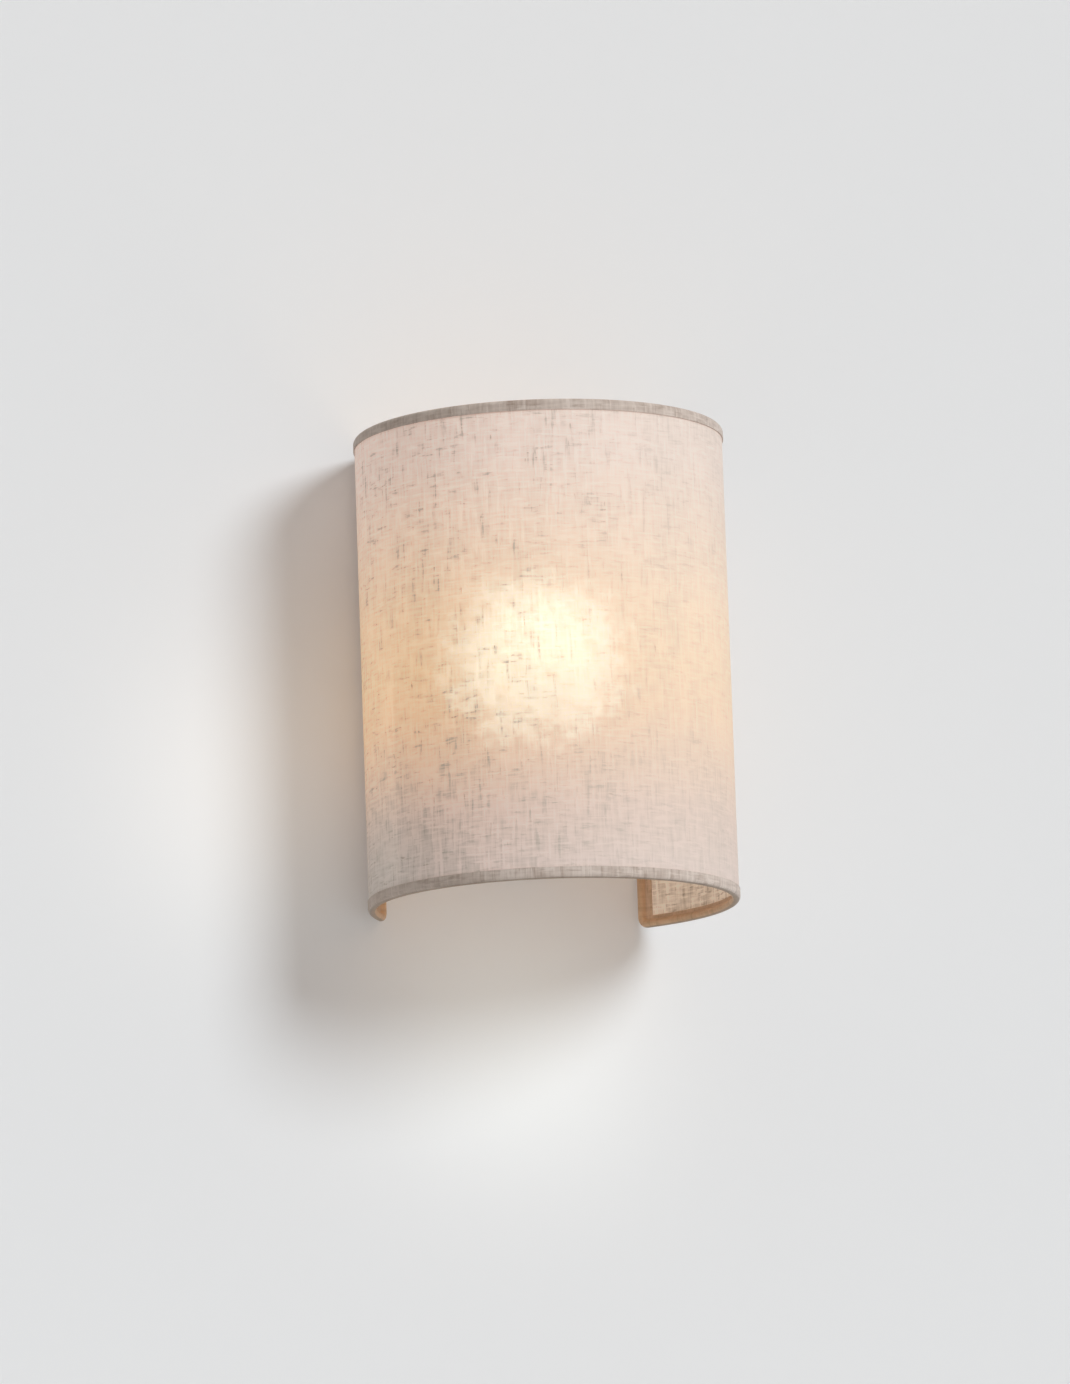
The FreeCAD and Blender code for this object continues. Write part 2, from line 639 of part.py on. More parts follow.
def sink_cone(owner, level):
    """Countersink for one bracket screw, from the wall side."""
    drawn = sketch(owner, "YZ")
    slope = "(fix_head - fix_shank) / 2"
    wide = level + " + fix_head / 2 + fix_gap"
    narrow = level + " + fix_shank / 2 + fix_gap"
    outline(drawn, [
        ("plate_thick", level), ("plate_thick", wide), ("0", wide), ("-(%s)" % slope, narrow),
        ("-2 * plate_thick", narrow), ("-2 * plate_thick", level),
    ])
    near, far = "plate_thick", "2 * plate_thick"
    axis = drawn.addGeometry(Part.LineSegment(FreeCAD.Vector(size(near), size(level), 0),
                                              FreeCAD.Vector(size(far), size(level), 0)), True)
    drawn.addConstraint(Sketcher.Constraint("Horizontal", axis))
    bind(drawn, "DistanceX", axis, 1, to=near)
    bind(drawn, "DistanceY", axis, 1, to=level)
    bind(drawn, "DistanceX", axis, 2, to=far)
    before = owner.Shape.Volume
    cut = owner.newObject("PartDesign::Groove", owner.Name + "_groove")
    cut.Profile = drawn
    cut.ReferenceAxis = (drawn, ["Axis0"])
    cut.Angle = 360
    doc.recompute()
    if not cut.Shape.Volume < before - 0.01:
        raise ValueError("a countersink cuts nothing")


def lamp_bracket():
    """L-shaped strip: upright leg on the plate, shelf with the nipple's hole."""
    made = body("lamp_bracket")
    back = "-plate_thick"
    front = "-plate_thick - bracket_thick"
    low = "bracket_seat - bracket_thick"
    nose = "-lamp_reach - bracket_nose"
    inner = "bracket_thick"
    outer = "(2 * bracket_thick)"
    drawn = outline(sketch(made, "YZ"), [
        (back, "bracket_seat + bracket_rise"),
        (front, "bracket_seat + bracket_rise"),
        (front, "bracket_seat + " + inner, "-" + inner),
        ("%s - %s" % (front, inner), "bracket_seat"),
        (nose, "bracket_seat"), (nose, low),
        ("%s - %s" % (back, outer), low, outer), (back, "%s + %s" % (low, outer)),
    ])
    pad(drawn, "bracket_wide", both=True)
    hole = ring(sketch(made, "XY", "bracket_seat"), "0", "-lamp_reach", "nipple_size / 2 + nipple_gap")
    pocket(hole, "4 * bracket_thick", both=True)
    holes = sketch(made, "XZ", "plate_thick")
    for level in bracket_levels():
        ring(holes, "0", level, "fix_shank / 2 + fix_gap")
    pocket(holes, "4 * bracket_thick", both=True)
    round_edges(made, "nose_round * bracket_wide / 2", lambda start, end:
                abs(start.y - size(nose)) < 0.01 and abs(end.y - size(nose)) < 0.01
                and abs(start.z - end.z) > 0.1)
    return made


def front_piece(label, corners, x, y, z):
    """A turned piece whose own axis points forward from the wall."""
    made = body(label, x, y, z, turn="90", about=(1, 0, 0))
    revolve(outline(sketch(made, "XZ"), corners))
    return made


def hexagon(owner, flats, bore):
    """A hexagon with a round hole."""
    half = "(%s) / 2" % flats
    side = "(%s) / 1.7320508" % flats
    outline(owner, [
        (side, "0"), ("(%s) / 2" % side, half), ("-(%s) / 2" % side, half),
        ("-(%s)" % side, "0"), ("-(%s) / 2" % side, "-" + half), ("(%s) / 2" % side, "-" + half),
    ])
    return ring(owner, "0", "0", bore)


def bracket_fixings():
    """Countersunk screws from behind the plate and their nuts on the bracket."""
    slope = "(fix_head - fix_shank) / 2"
    reach = "plate_thick + bracket_thick + fix_spare"
    screws, nuts = [], []
    for index, level in enumerate(bracket_levels()):
        screw = front_piece("bracket_screw_%d" % (index + 1), [
            ("0", "fix_sink"), ("fix_head / 2 - fix_sink", "fix_sink"), ("fix_shank / 2", slope),
            ("fix_shank / 2", reach), ("0", reach),
        ], 0, 0, level)
        nut = body("bracket_nut_%d" % (index + 1), 0, "-plate_thick - bracket_thick", level,
                   turn="90", about=(1, 0, 0))
        pad(hexagon(sketch(nut, "XY"), "nut_flats", "fix_shank / 2 + fix_gap"), "nut_tall")
        screws.append(screw)
        nuts.append(nut)
    return [group("bracket_screws", screws), group("bracket_nuts", nuts)]


def cable_grommet():
    """Rubber grommet that the plate's hole holds in its groove."""
    flange = "grommet_flange / 2"
    neck = "inlet_hole / 2 - grommet_gap"
    bore = "inlet_bore / 2"
    front = "plate_thick + grommet_lip"
    return front_piece("cable_grommet", [
        (bore, "back_inset"), (neck, "back_inset"), (neck, "plate_thick"), (flange, "plate_thick"),
        (flange, front), (bore, front),
    ], 0, 0, "inlet_lift")


# ---------------------------------------------------------------- lampholder

def holder_parts():
    """Nipple, locknut, dome, sleeve, core, thread shell, spring contact and screws."""
    reach = "-lamp_reach"
    nipple_low = "-bracket_thick - nipple_drop"
    nipple = turned("holder_nipple", [
        ("nipple_bore / 2", nipple_low), ("nipple_size / 2", nipple_low),
        ("nipple_size / 2", "dome_floor"), ("nipple_bore / 2", "dome_floor"),
    ], 0, reach, "bracket_seat")
    nut = body("holder_locknut", 0, reach, "bracket_seat - bracket_thick - locknut_tall")
    pad(hexagon(sketch(nut, "XY"), "locknut_flats", "nipple_size / 2 + socket_gap"), "locknut_tall")
    outer = "holder_size / 2"
    inner = "holder_size / 2 - holder_wall"
    ledge = "dome_tall - core_tall"
    dome = turned("holder_dome", [
        ("nipple_size / 2 + socket_gap", "0"), ("dome_foot", "0"), (outer, "dome_shoulder"),
        (outer, "dome_tall"), (inner, "dome_tall"), (inner, ledge), (inner + " - dome_ledge", ledge),
        (inner + " - dome_ledge", "dome_floor"), ("nipple_size / 2 + socket_gap", "dome_floor"),
    ], 0, reach, "bracket_seat")
    notch = box_outline(sketch(dome, "XZ"), "-notch_wide / 2", "notch_low",
                        "notch_wide / 2", "notch_low + notch_tall")
    pocket(notch, "holder_size")
    core = turned("holder_core", [
        ("0", "0"), (inner + " - core_gap", "0"), (inner + " - core_gap", "core_thick"),
        ("0", "core_thick"),
    ], 0, reach, "core_level")
    sleeve = turned("holder_sleeve", [
        (inner, "0"), (outer, "0"), (outer, "sleeve_tall - mouth_round"),
        (outer + " - mouth_round", "sleeve_tall"), ("mouth_radius", "sleeve_tall"),
        ("mouth_radius", "sleeve_tall - holder_wall"), (inner, "sleeve_tall - holder_wall"),
    ], 0, reach, "bracket_seat + dome_tall")
    shell_piece = turned("holder_thread_shell", shell_section(), 0, reach, "contact_level")
    contact = turned("holder_spring_contact", [
        ("0", "0"), ("spring_foot", "0"), ("spring_foot", "spring_plate"),
        ("spring_head", "spring_tall"), ("0", "spring_tall"),
    ], 0, reach, "core_level + core_thick")
    screws = []
    for side in (-1, 1):
        screws.append(turned("holder_screw_%d" % (side + 2), [
            ("0", "0"), ("pole_screw_radius", "0"), ("pole_screw_radius", "-pole_screw_tall"),
            ("0", "-pole_screw_tall"),
        ], "%d * pole_screw_side" % side, reach + " + pole_screw_front", "core_level"))
    return [nipple, nut, dome, core, sleeve, shell_piece, contact,
            group("holder_terminal_screws", screws)]


def shell_section():
    """Half section of the metal shell that takes the bulb's thread, from floor to rim."""
    inner = "thread_mean + thread_gap"
    outer = inner + " + shell_thick"
    floor = "core_level + core_thick - contact_level"
    return [("shell_hole", floor), (outer, floor), (outer, "shell_rim"), (inner, "shell_rim"),
            (inner, floor + " + shell_thick"), ("shell_hole", floor + " + shell_thick")]


# ---------------------------------------------------------------- bulb

def ball_arc(radius, angles):
    """Corners of a ball's half section at a few angles above its middle, in degrees."""
    middle = "(globe_level - contact_level)"
    return [("(%s) * cos(%d)" % (radius, angle), "%s + (%s) * sin(%d)" % (middle, radius, angle))
            for angle in angles]


def bulb_parts():
    """Contact, insulator, screw cap, plastic body and hollow opal globe."""
    spot = (0, "-lamp_reach", "contact_level")
    contact = turned("bulb_contact", [
        ("0", "0"), ("tip_flat", "0"), ("tip_radius", "tip_tall"), ("0", "tip_tall"),
    ], *spot)
    insulator = turned("bulb_insulator", [
        ("0", "tip_tall"), ("insulator_foot", "tip_tall"), ("cap_neck", "insulator_tall"),
        ("0", "insulator_tall"),
    ], *spot)
    rim = "thread_mean + cap_flare"
    cap = turned("bulb_screw_cap", [
        ("0", "insulator_tall"), ("cap_neck", "insulator_tall"), ("thread_mean", "cap_start"),
        ("thread_mean", "cap_tall - rim_tall"), (rim, "cap_tall - rim_tall"),
        (rim, "cap_tall"), ("0", "cap_tall"),
    ], *spot)
    seam = "cap_tall + collar_tall"
    foot = "(%s + collar_step)" % rim
    flare = "(seam_radius - %s)" % foot
    neck = "(cap_tall + collar_foot)"
    rise = "(collar_tall - collar_foot)"
    housing = turned("bulb_body", [
        ("0", "cap_tall"), (foot, "cap_tall"), (foot, neck),
        ("%s + collar_swell * %s" % (foot, flare), "%s + collar_waist * %s" % (neck, rise)),
        ("seam_radius", seam), ("0", seam),
    ], *spot)
    inside = "globe_size / 2 - globe_wall"
    crown = "crown_flat * globe_size / 2"
    hollow = ball_arc(inside, HOLLOW_ANGLES)
    globe = turned("bulb_globe", [("seam_radius", seam)]
                   + ball_arc("globe_size / 2", GLOBE_ANGLES)
                   + [(crown, "bulb_length"), ("0", "bulb_length"), ("0", hollow[0][1])] + hollow
                   + [("sqrt((%s) ^ 2 - seam_drop ^ 2)" % inside, seam)], *spot)
    return [contact, insulator, cap, housing, globe]


# ---------------------------------------------------------------- terminal block and leads

def terminal_parts():
    """Three-pole terminal block with brass tubes and clamp screws, and its two screws."""
    block = body("terminal_block", 0, "-plate_thick", "block_mid")
    half = "1.5 * pole_pitch"
    deck = "tube_depth + tube_size / 2 + block_cover"
    tower = "(clamp_size / 2 + tower_wall)"
    pad(box_outline(sketch(block, "XZ"), "-" + half, "-block_tall / 2", half, "block_tall / 2"), deck)
    towers = sketch(block, "XZ", "tube_depth")
    bores = sketch(block, "XZ", "tube_depth")
    for pole in (-1, 0, 1):
        for end in (-1, 1):
            across = "%d * pole_pitch" % pole
            along = "%d * block_tall / 4" % end
            box_outline(towers, across + " - " + tower, along + " - " + tower,
                        across + " + " + tower, along + " + " + tower)
            ring(bores, across, along, "clamp_size / 2 + clamp_gap")
    pad(towers, "block_deep - tube_depth")
    pocket(bores, "block_deep", reverse=True)
    mouths = sketch(block, "XY")
    for pole in (-1, 0, 1):
        ring(mouths, "%d * pole_pitch" % pole, "-tube_depth", "tube_size / 2 + tube_gap")
    pocket(mouths, "2 * block_tall", both=True)
    fixing = sketch(block, "XZ")
    for side in (-1, 1):
        ring(fixing, "%d * pole_pitch / 2" % side, "0", "block_screw / 2 + clamp_gap")
    pocket(fixing, "4 * block_deep", both=True)
    tubes, screws, fixings = [], [], []
    for pole in (-1, 0, 1):
        tube = body("terminal_tube_%d" % (pole + 2), "%d * pole_pitch" % pole,
                    "-plate_thick - tube_depth", "block_mid")
        drawn = ring(sketch(tube, "XY"), "0", "0", "tube_size / 2")
        ring(drawn, "0", "0", "tube_bore / 2")
        pad(drawn, "tube_share * block_tall", both=True)
        tubes.append(tube)
        seat = "tube_size / 2 + tube_gap"
        top = "block_deep - tube_depth - clamp_sink"
        for end in (-1, 1):
            screws.append(front_piece("clamp_screw_%d_%d" % (pole + 2, end + 2), [
                ("0", seat), ("clamp_size / 2", seat), ("clamp_size / 2", top), ("0", top),
            ], "%d * pole_pitch" % pole, "-plate_thick - tube_depth",
                "block_mid + %d * block_tall / 4" % end))
    for side in (-1, 1):
        start = "back_inset - plate_thick"
        fixings.append(front_piece("block_screw_%d" % (side + 2), [
            ("0", start), ("block_screw / 2", start), ("block_screw / 2", deck),
            ("block_head / 2", deck), ("block_head / 2", deck + " + block_head_tall"),
            ("0", deck + " + block_head_tall"),
        ], "%d * pole_pitch / 2" % side, "-plate_thick", "block_mid"))
    return [block, group("terminal_tubes", tubes), group("terminal_screws", screws),
            group("block_fixing_screws", fixings)]


def earth_parts():
    """Earth screw in the plate and the ring terminal that it clamps."""
    lug = body("earth_ring_terminal", "-earth_side", "-plate_thick", "-earth_drop")
    flat = ring(sketch(lug, "XZ"), "0", "0", "lug_wide / 2")
    ring(flat, "0", "0", "earth_screw / 2 + clamp_gap")
    pad(flat, "lug_thick")
    tongue = box_outline(sketch(lug, "XZ"), "-tongue_wide / 2", "lug_wide / 2 - barrel_wall",
                         "tongue_wide / 2", "barrel_rise + barrel_wall")
    pad(tongue, "lug_thick")
    out = "wire_cover / 2 + barrel_wall"
    barrel = ring(sketch(lug, "XY", "barrel_rise"), "0", "-(%s)" % out, out)
    ring(barrel, "0", "-(%s)" % out, "wire_cover / 2 + lead_gap")
    pad(barrel, "barrel_tall")
    seat = "plate_thick + lug_thick"
    shank = "earth_screw / 2 - thread_clear"
    crown = seat + " + earth_head_tall"
    screw = front_piece("earth_screw", [
        ("0", "back_inset"), (shank, "back_inset"), (shank, seat), ("earth_head / 2", seat),
        ("earth_head / 2", crown), ("0", crown),
    ], "-earth_side", 0, "-earth_drop")
    return [lug, screw]


def lead(label, points):
    """A lead through hand-chosen points: straight runs joined by tangent arcs, six-sided."""
    spots = [FreeCAD.Vector(*point) for point in points]
    edges = []
    radii = []
    last = spots[0]
    for before, corner, after in zip(spots, spots[1:], spots[2:]):
        into = corner - before
        out = after - corner
        half = into.getAngle(out) / 2
        setback = 0.45 * min(into.Length, out.Length)
        start = corner - into.normalize() * setback
        end = corner + out.normalize() * setback
        radius = setback / math.tan(half)
        radii.append(round(radius, 1))
        inward = (out - into).normalize()
        middle = corner + inward * (radius / math.cos(half) - radius)
        edges.append(Part.LineSegment(last, start).toShape())
        edges.append(Part.Arc(start, middle, end).toShape())
        last = end
    edges.append(Part.LineSegment(last, spots[-1]).toShape())
    spine = Part.Wire(edges)
    area = math.pi * size("wire_cover") ** 2 / 4
    corner = (area / (1.5 * 3 ** 0.5)) ** 0.5
    heading = (spots[1] - spots[0]).normalize()
    side = heading.cross(FreeCAD.Vector(0, 1, 0)).normalize()
    other = heading.cross(side)
    rim = []
    for turn in range(0, 420, 60):
        angle = math.radians(turn)
        rim.append(spots[0] + side * (corner * math.cos(angle)) + other * (corner * math.sin(angle)))
    section = Part.makePolygon(rim)
    made = doc.addObject("Part::Feature", label)
    made.Label = label
    made.Shape = spine.makePipeShell([section], True, False)
    made.Placement = FreeCAD.Placement()
    print(label, "length", round(spine.Length, 1), "radii", radii,
          "volume to section x length", round(made.Shape.Volume / (area * spine.Length), 4))
    return made


LIVE = [(10, -7.5, 6.5), (10.5, -8.5, -8), (8.5, -9.5, -36), (5.5, -9.5, -60),
        (4.5, -17, -76), (4, -34, -77), (4, -50, -75.5)]
NEUTRAL = [(0, -7.5, 6.5), (-1, -8.5, -8), (-4.5, -10, -34), (-5.5, -9.5, -60),
           (-4.5, -17, -76), (-4, -34, -77), (-4, -50, -75.5)]
EARTH = [(-10, -7.5, 6.5), (-11, -9, -7), (-22, -7.5, -16), (-24, -3.7, -27), (-24, -3.7, -38)]


def build():
    """All pieces of the light, each under its own name."""
    fill_sheet()
    pieces = [shell("linen_cover", "linen_in", "linen_thick"),
              shell("shade_liner", "liner_in", "liner_thick"),
              level_hem("top_hem", True), level_hem("bottom_hem", False),
              frame_ring("top_ring", True), frame_ring("bottom_ring", False)]
    hem = edge_hem("right_edge_hem")
    upright = frame_upright("right_upright")
    doc.recompute()
    pieces += [hem, mirrored(hem, "left_edge_hem"), upright, mirrored(upright, "left_upright"),
               hanger_bar(), wall_plate(), lamp_bracket(), cable_grommet()]
    pieces += bracket_fixings() + holder_parts() + bulb_parts() + terminal_parts() + earth_parts()
    pieces += [lead("live_lead", LIVE), lead("neutral_lead", NEUTRAL), lead("earth_lead", EARTH)]
    doc.recompute()
    return pieces


def check(pieces):
    """Stop when an object failed or a piece has no valid shape."""
    for thing in doc.Objects:
        if "Invalid" in thing.State or "Error" in thing.State:
            raise ValueError(thing.Label + " failed: " + str(thing.State))
    for piece in pieces:
        if piece.Shape.isNull() or not piece.Shape.isValid():
            raise ValueError(piece.Label + " has no valid shape")


def export(pieces):
    """Write one file for each piece."""
    os.makedirs("parts", exist_ok=True)
    for piece in pieces:
        piece.Shape.exportStep("parts/" + piece.Label + ".step")
        box = piece.Shape.BoundBox
        print("%-24s solids %2d  volume %9.1f  x %6.1f %6.1f  y %6.1f %6.1f  z %6.1f %6.1f" % (
            piece.Label, len(piece.Shape.Solids), piece.Shape.Volume,
            box.XMin, box.XMax, box.YMin, box.YMax, box.ZMin, box.ZMax))


PIECES = build()
check(PIECES)
export(PIECES)
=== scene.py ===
"""Looks of the fabric shade wall light: linen shade, binding tapes, wall unit and bulb.

Everything is in metres, in the frame of the construction: the wall is the plane y = 0,
the light stands in front of it towards -Y, X runs to the right and Z up.
"""

from __future__ import annotations

import logging
import math
from dataclasses import dataclass
from enum import Enum
from typing import Callable, Sequence

import bmesh
import bpy
from mathutils import Matrix, Vector


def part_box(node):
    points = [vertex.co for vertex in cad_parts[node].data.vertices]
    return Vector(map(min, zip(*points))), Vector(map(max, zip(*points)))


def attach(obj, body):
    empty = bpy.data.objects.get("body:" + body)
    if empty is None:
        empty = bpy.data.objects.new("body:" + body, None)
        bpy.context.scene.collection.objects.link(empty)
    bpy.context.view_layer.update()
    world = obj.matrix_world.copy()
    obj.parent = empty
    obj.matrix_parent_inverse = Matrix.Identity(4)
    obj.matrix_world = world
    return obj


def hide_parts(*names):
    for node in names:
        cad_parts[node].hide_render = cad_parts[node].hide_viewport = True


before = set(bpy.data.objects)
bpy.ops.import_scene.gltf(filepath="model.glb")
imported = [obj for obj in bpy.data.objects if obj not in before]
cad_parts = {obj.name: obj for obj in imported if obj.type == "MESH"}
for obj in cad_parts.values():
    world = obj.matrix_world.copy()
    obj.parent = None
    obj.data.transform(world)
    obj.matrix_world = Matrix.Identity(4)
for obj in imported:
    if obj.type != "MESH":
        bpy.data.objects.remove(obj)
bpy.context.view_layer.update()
MM = 0.001
CLOTH_MAP = "cloth"
CLOSE_BY = 0.01 * MM
HAIR = 0.001 * MM

Colour = tuple[float, float, float]
log = logging.getLogger("wall_light")


# ------------------------------------------------------------------ shader writing


class Signal:
    """A value of a material that changes over the surface; it takes part in plain maths."""

    def __init__(self, surface: Surface, socket: bpy.types.NodeSocket) -> None:
        """Wrap an output socket of a surface's node tree."""
        self.surface = surface
        self.socket = socket

    def _maths(self, operation: str, first: object, second: object = 0.0) -> Signal:
        """Add one Math node.

        Args:
            operation: Blender's name of the operation.
            first: a signal or a number.
            second: a signal or a number.

        Returns:
            The node's result.
        """
        node = self.surface.node("ShaderNodeMath", {"operation": operation}, {0: first, 1: second})
        return Signal(self.surface, node.outputs[0])

    def __add__(self, other: object) -> Signal:
        """Sum."""
        return self._maths("ADD", self, other)

    __radd__ = __add__

    def __sub__(self, other: object) -> Signal:
        """Difference."""
        return self._maths("SUBTRACT", self, other)

    def __rsub__(self, other: object) -> Signal:
        """Difference from a number."""
        return self._maths("SUBTRACT", other, self)

    def __mul__(self, other: object) -> Signal:
        """Product."""
        return self._maths("MULTIPLY", self, other)

    __rmul__ = __mul__

    def __truediv__(self, other: object) -> Signal:
        """Quotient."""
        return self._maths("DIVIDE", self, other)

    def sine(self) -> Signal:
        """Sine of the value, from -1 to 1."""
        return self._maths("SINE", self)

    def root(self) -> Signal:
        """Square root of the value."""
        return self._maths("SQRT", self)

    def at_most(self, other: object) -> Signal:
        """The smaller of two values."""
        return self._maths("MINIMUM", self, other)

    def at_least(self, other: object) -> Signal:
        """The larger of two values."""
        return self._maths("MAXIMUM", self, other)

    def clamped(self) -> Signal:
        """The value, held between 0 and 1."""
        return self.at_least(0.0).at_most(1.0)

    def step(self, low: float, high: float) -> Signal:
        """Rise smoothly from 0 at low to 1 at high.

        Args:
            low: value at which the rise starts.
            high: value at which it ends.

        Returns:
            The mask.
        """
        settings = {"interpolation_type": "SMOOTHSTEP"}
        node = self.surface.node("ShaderNodeMapRange", settings, {0: self, 1: low, 2: high})
        return Signal(self.surface, node.outputs[0])


class Surface:
    """One material under construction."""

    def __init__(self, name: str) -> None:
        """Start an empty material.

        Args:
            name: the material's name.
        """
        self.material = bpy.data.materials.new(name)
        self.material.use_nodes = True
        self.tree = self.material.node_tree
        self.tree.nodes.clear()

    def node(self, kind: str, settings: dict | None = None, sockets: dict | None = None) -> bpy.types.Node:
        """Add a node of any type.

        Args:
            kind: Blender's type of the node.
            settings: properties that are set first; "stops" fills a colour ramp.
            sockets: numbers, colours, signals or sockets for its inputs, by name or index.

        Returns:
            The node.
        """
        made = self.tree.nodes.new(kind)
        for key, setting in (settings or {}).items():
            if key == "stops":
                self._fill_ramp(made, setting)
            else:
                setattr(made, key, setting)
        for key, given in (sockets or {}).items():
            given = given.socket if isinstance(given, Signal) else given
            if isinstance(given, bpy.types.NodeSocket):
                self.tree.links.new(given, made.inputs[key])
            elif isinstance(given, tuple) and made.inputs[key].type == "RGBA":
                made.inputs[key].default_value = (*given, 1.0)
            else:
                made.inputs[key].default_value = given
        return made

    @staticmethod
    def _fill_ramp(ramp: bpy.types.Node, stops: Sequence[tuple[float, Colour]]) -> None:
        """Write the stops of a colour ramp.

        Args:
            ramp: the ramp's node.
            stops: place from 0 to 1 and colour of each stop, in order.
        """
        elements = ramp.color_ramp.elements
        while len(elements) < len(stops):
            elements.new(0.5)
        for element, (place, colour) in zip(elements, stops):
            element.position = place
            element.color = (*colour, 1.0)

    def signal(self, kind: str, settings: dict | None = None, sockets: dict | None = None,
               output: int | str = 0) -> Signal:
        """Add a node and return one of its outputs as a signal."""
        return Signal(self, self.node(kind, settings, sockets).outputs[output])

    def spot(self) -> Signal:
        """Place on the object, in metres."""
        return self.signal("ShaderNodeTexCoord", output="Object")

    def thread_spot(self) -> Signal:
        """Place on the cloth, in metres along and up it."""
        return self.signal("ShaderNodeUVMap", {"uv_map": CLOTH_MAP})

    def split(self, where: Signal) -> tuple[Signal, Signal, Signal]:
        """The three coordinates of a place."""
        parts = self.node("ShaderNodeSeparateXYZ", None, {0: where})
        return tuple(Signal(self, out) for out in parts.outputs)

    def noise(self, where: Signal, stretch: Sequence[float], detail: float = 2.0,
              shift: float = 0.0) -> Signal:
        """Smooth noise about 0.5.

        Args:
            where: the coordinates.
            stretch: cycles in a metre along each axis.
            detail: finer octaves.
            shift: moves the pattern, so that two patterns differ.

        Returns:
            The noise.
        """
        moved = (shift, shift * 0.7, shift)
        placed = self.signal("ShaderNodeMapping", None,
                             {"Vector": where, "Scale": tuple(stretch), "Location": moved})
        return self.signal("ShaderNodeTexNoise", None,
                           {"Vector": placed, "Scale": 1.0, "Detail": detail, "Roughness": 0.55})

    def cells(self, where: Signal, size: float) -> Signal:
        """A random value for each cell of about that size in metres."""
        parts = self.node("ShaderNodeTexVoronoi", None, {"Vector": where, "Scale": 1.0 / size})
        return self.signal("ShaderNodeSeparateColor", None, {0: parts.outputs["Color"]})

    def mix(self, share: Signal | float, first: object, second: object) -> bpy.types.NodeSocket:
        """Mix two colours.

        Args:
            share: 0 for the first, 1 for the second.
            first: colour or socket.
            second: colour or socket.

        Returns:
            The mixed colour's socket.
        """
        return self.node("ShaderNodeMix", {"data_type": "RGBA"}, {0: share, 6: first, 7: second}).outputs[2]

    def ramp(self, value: Signal, stops: Sequence[tuple[float, Colour]]) -> bpy.types.NodeSocket:
        """Colour by a value."""
        return self.node("ShaderNodeValToRGB", {"stops": stops}, {0: value}).outputs[0]

    def bump(self, height: Signal, depth: float, strength: float = 1.0) -> bpy.types.NodeSocket:
        """Relief of a given depth in metres."""
        sockets = {"Height": height, "Distance": depth, "Strength": strength}
        return self.node("ShaderNodeBump", None, sockets).outputs[0]

    def shader(self, kind: str, sockets: dict | None = None) -> bpy.types.NodeSocket:
        """Add a shader of any type and return its output."""
        return self.node(kind, None, sockets).outputs[0]

    def principled(self, sockets: dict) -> bpy.types.NodeSocket:
        """Add the shader that most finishes use and return its output."""
        return self.shader("ShaderNodeBsdfPrincipled", sockets)

    def either(self, share: object, first: bpy.types.NodeSocket,
               second: bpy.types.NodeSocket) -> bpy.types.NodeSocket:
        """Mix two shaders.

        Args:
            share: 0 for the first, 1 for the second.
            first: a shader's output.
            second: a shader's output.

        Returns:
            The mixed shader's output.
        """
        return self.shader("ShaderNodeMixShader", {0: share, 1: first, 2: second})

    def close(self, shader: bpy.types.NodeSocket) -> bpy.types.Material:
        """Give the material its outer shader and return it."""
        self.node("ShaderNodeOutputMaterial", None, {"Surface": shader})
        return self.material


# ------------------------------------------------------------------ finishes


class Grain(Enum):
    """How a hard surface is broken up."""

    PAINT = "fine orange peel of baked paint"
    ZINC = "crystals of a zinc coat"
    MOULDED = "faint texture of moulded plastic"
    TURNED = "fine rings of turned metal"
    CAST = "pores of fired ceramic or rubber"


@dataclass(frozen=True)
class HardFinish:
    """Paint, metal, plastic, rubber or ceramic."""

    name: str
    colour: Colour
    wear_and_shade: Colour
    roughness: float
    grain: Grain
    metallic: float = 0.0
    coat: float = 0.0

    def material(self) -> bpy.types.Material:
        """Build the material.

        Returns:
            The material, on object coordinates.
        """
        surface = Surface(self.name)
        where = surface.spot()
        cloud = surface.noise(where, (70, 70, 70), 4.0)
        wear = cloud.step(0.52, 0.78)
        if self.grain is Grain.PAINT:
            relief, depth = surface.noise(where, (900, 900, 900), 2.0), 0.00006
        elif self.grain is Grain.ZINC:
            relief, depth = surface.cells(where, 0.0028), 0.00002
            wear = relief * 0.75 + cloud * 0.25
        elif self.grain is Grain.MOULDED:
            relief, depth = surface.noise(where, (1600, 1600, 1600), 1.0), 0.00003
        elif self.grain is Grain.TURNED:
            relief, depth = surface.noise(where, (90, 90, 5200), 2.0), 0.00002
        else:
            relief, depth = surface.noise(where, (650, 650, 650), 5.0), 0.00009
        return surface.close(surface.principled({
            "Base Color": surface.mix(wear, self.colour, self.wear_and_shade),
            "Roughness": wear * 0.14 + (relief - 0.5) * 0.08 + self.roughness,
            "Metallic": self.metallic,
            "Coat Weight": self.coat,
            "Normal": surface.bump(relief, depth),
        }))


@dataclass(frozen=True)
class StripedLead:
    """Insulation of the earth lead, green with a yellow stripe."""

    green: Colour = (0.02, 0.25, 0.05)
    yellow: Colour = (0.85, 0.66, 0.03)

    def material(self) -> bpy.types.Material:
        """Build the material: the stripe winds slowly as the lead falls."""
        surface = Surface("lead_green_yellow")
        where = surface.spot()
        along, out, up = surface.split(where)
        turn = (along * 900.0 + out * 1400.0 + up * 420.0).sine()
        stripe = turn.step(-0.05, 0.05)
        scuff = surface.noise(where, (420, 420, 420), 3.0)
        return surface.close(surface.principled({
            "Base Color": surface.mix(stripe, self.green, self.yellow),
            "Roughness": scuff * 0.2 + 0.32,
            "Normal": surface.bump(scuff, 0.00003),
        }))


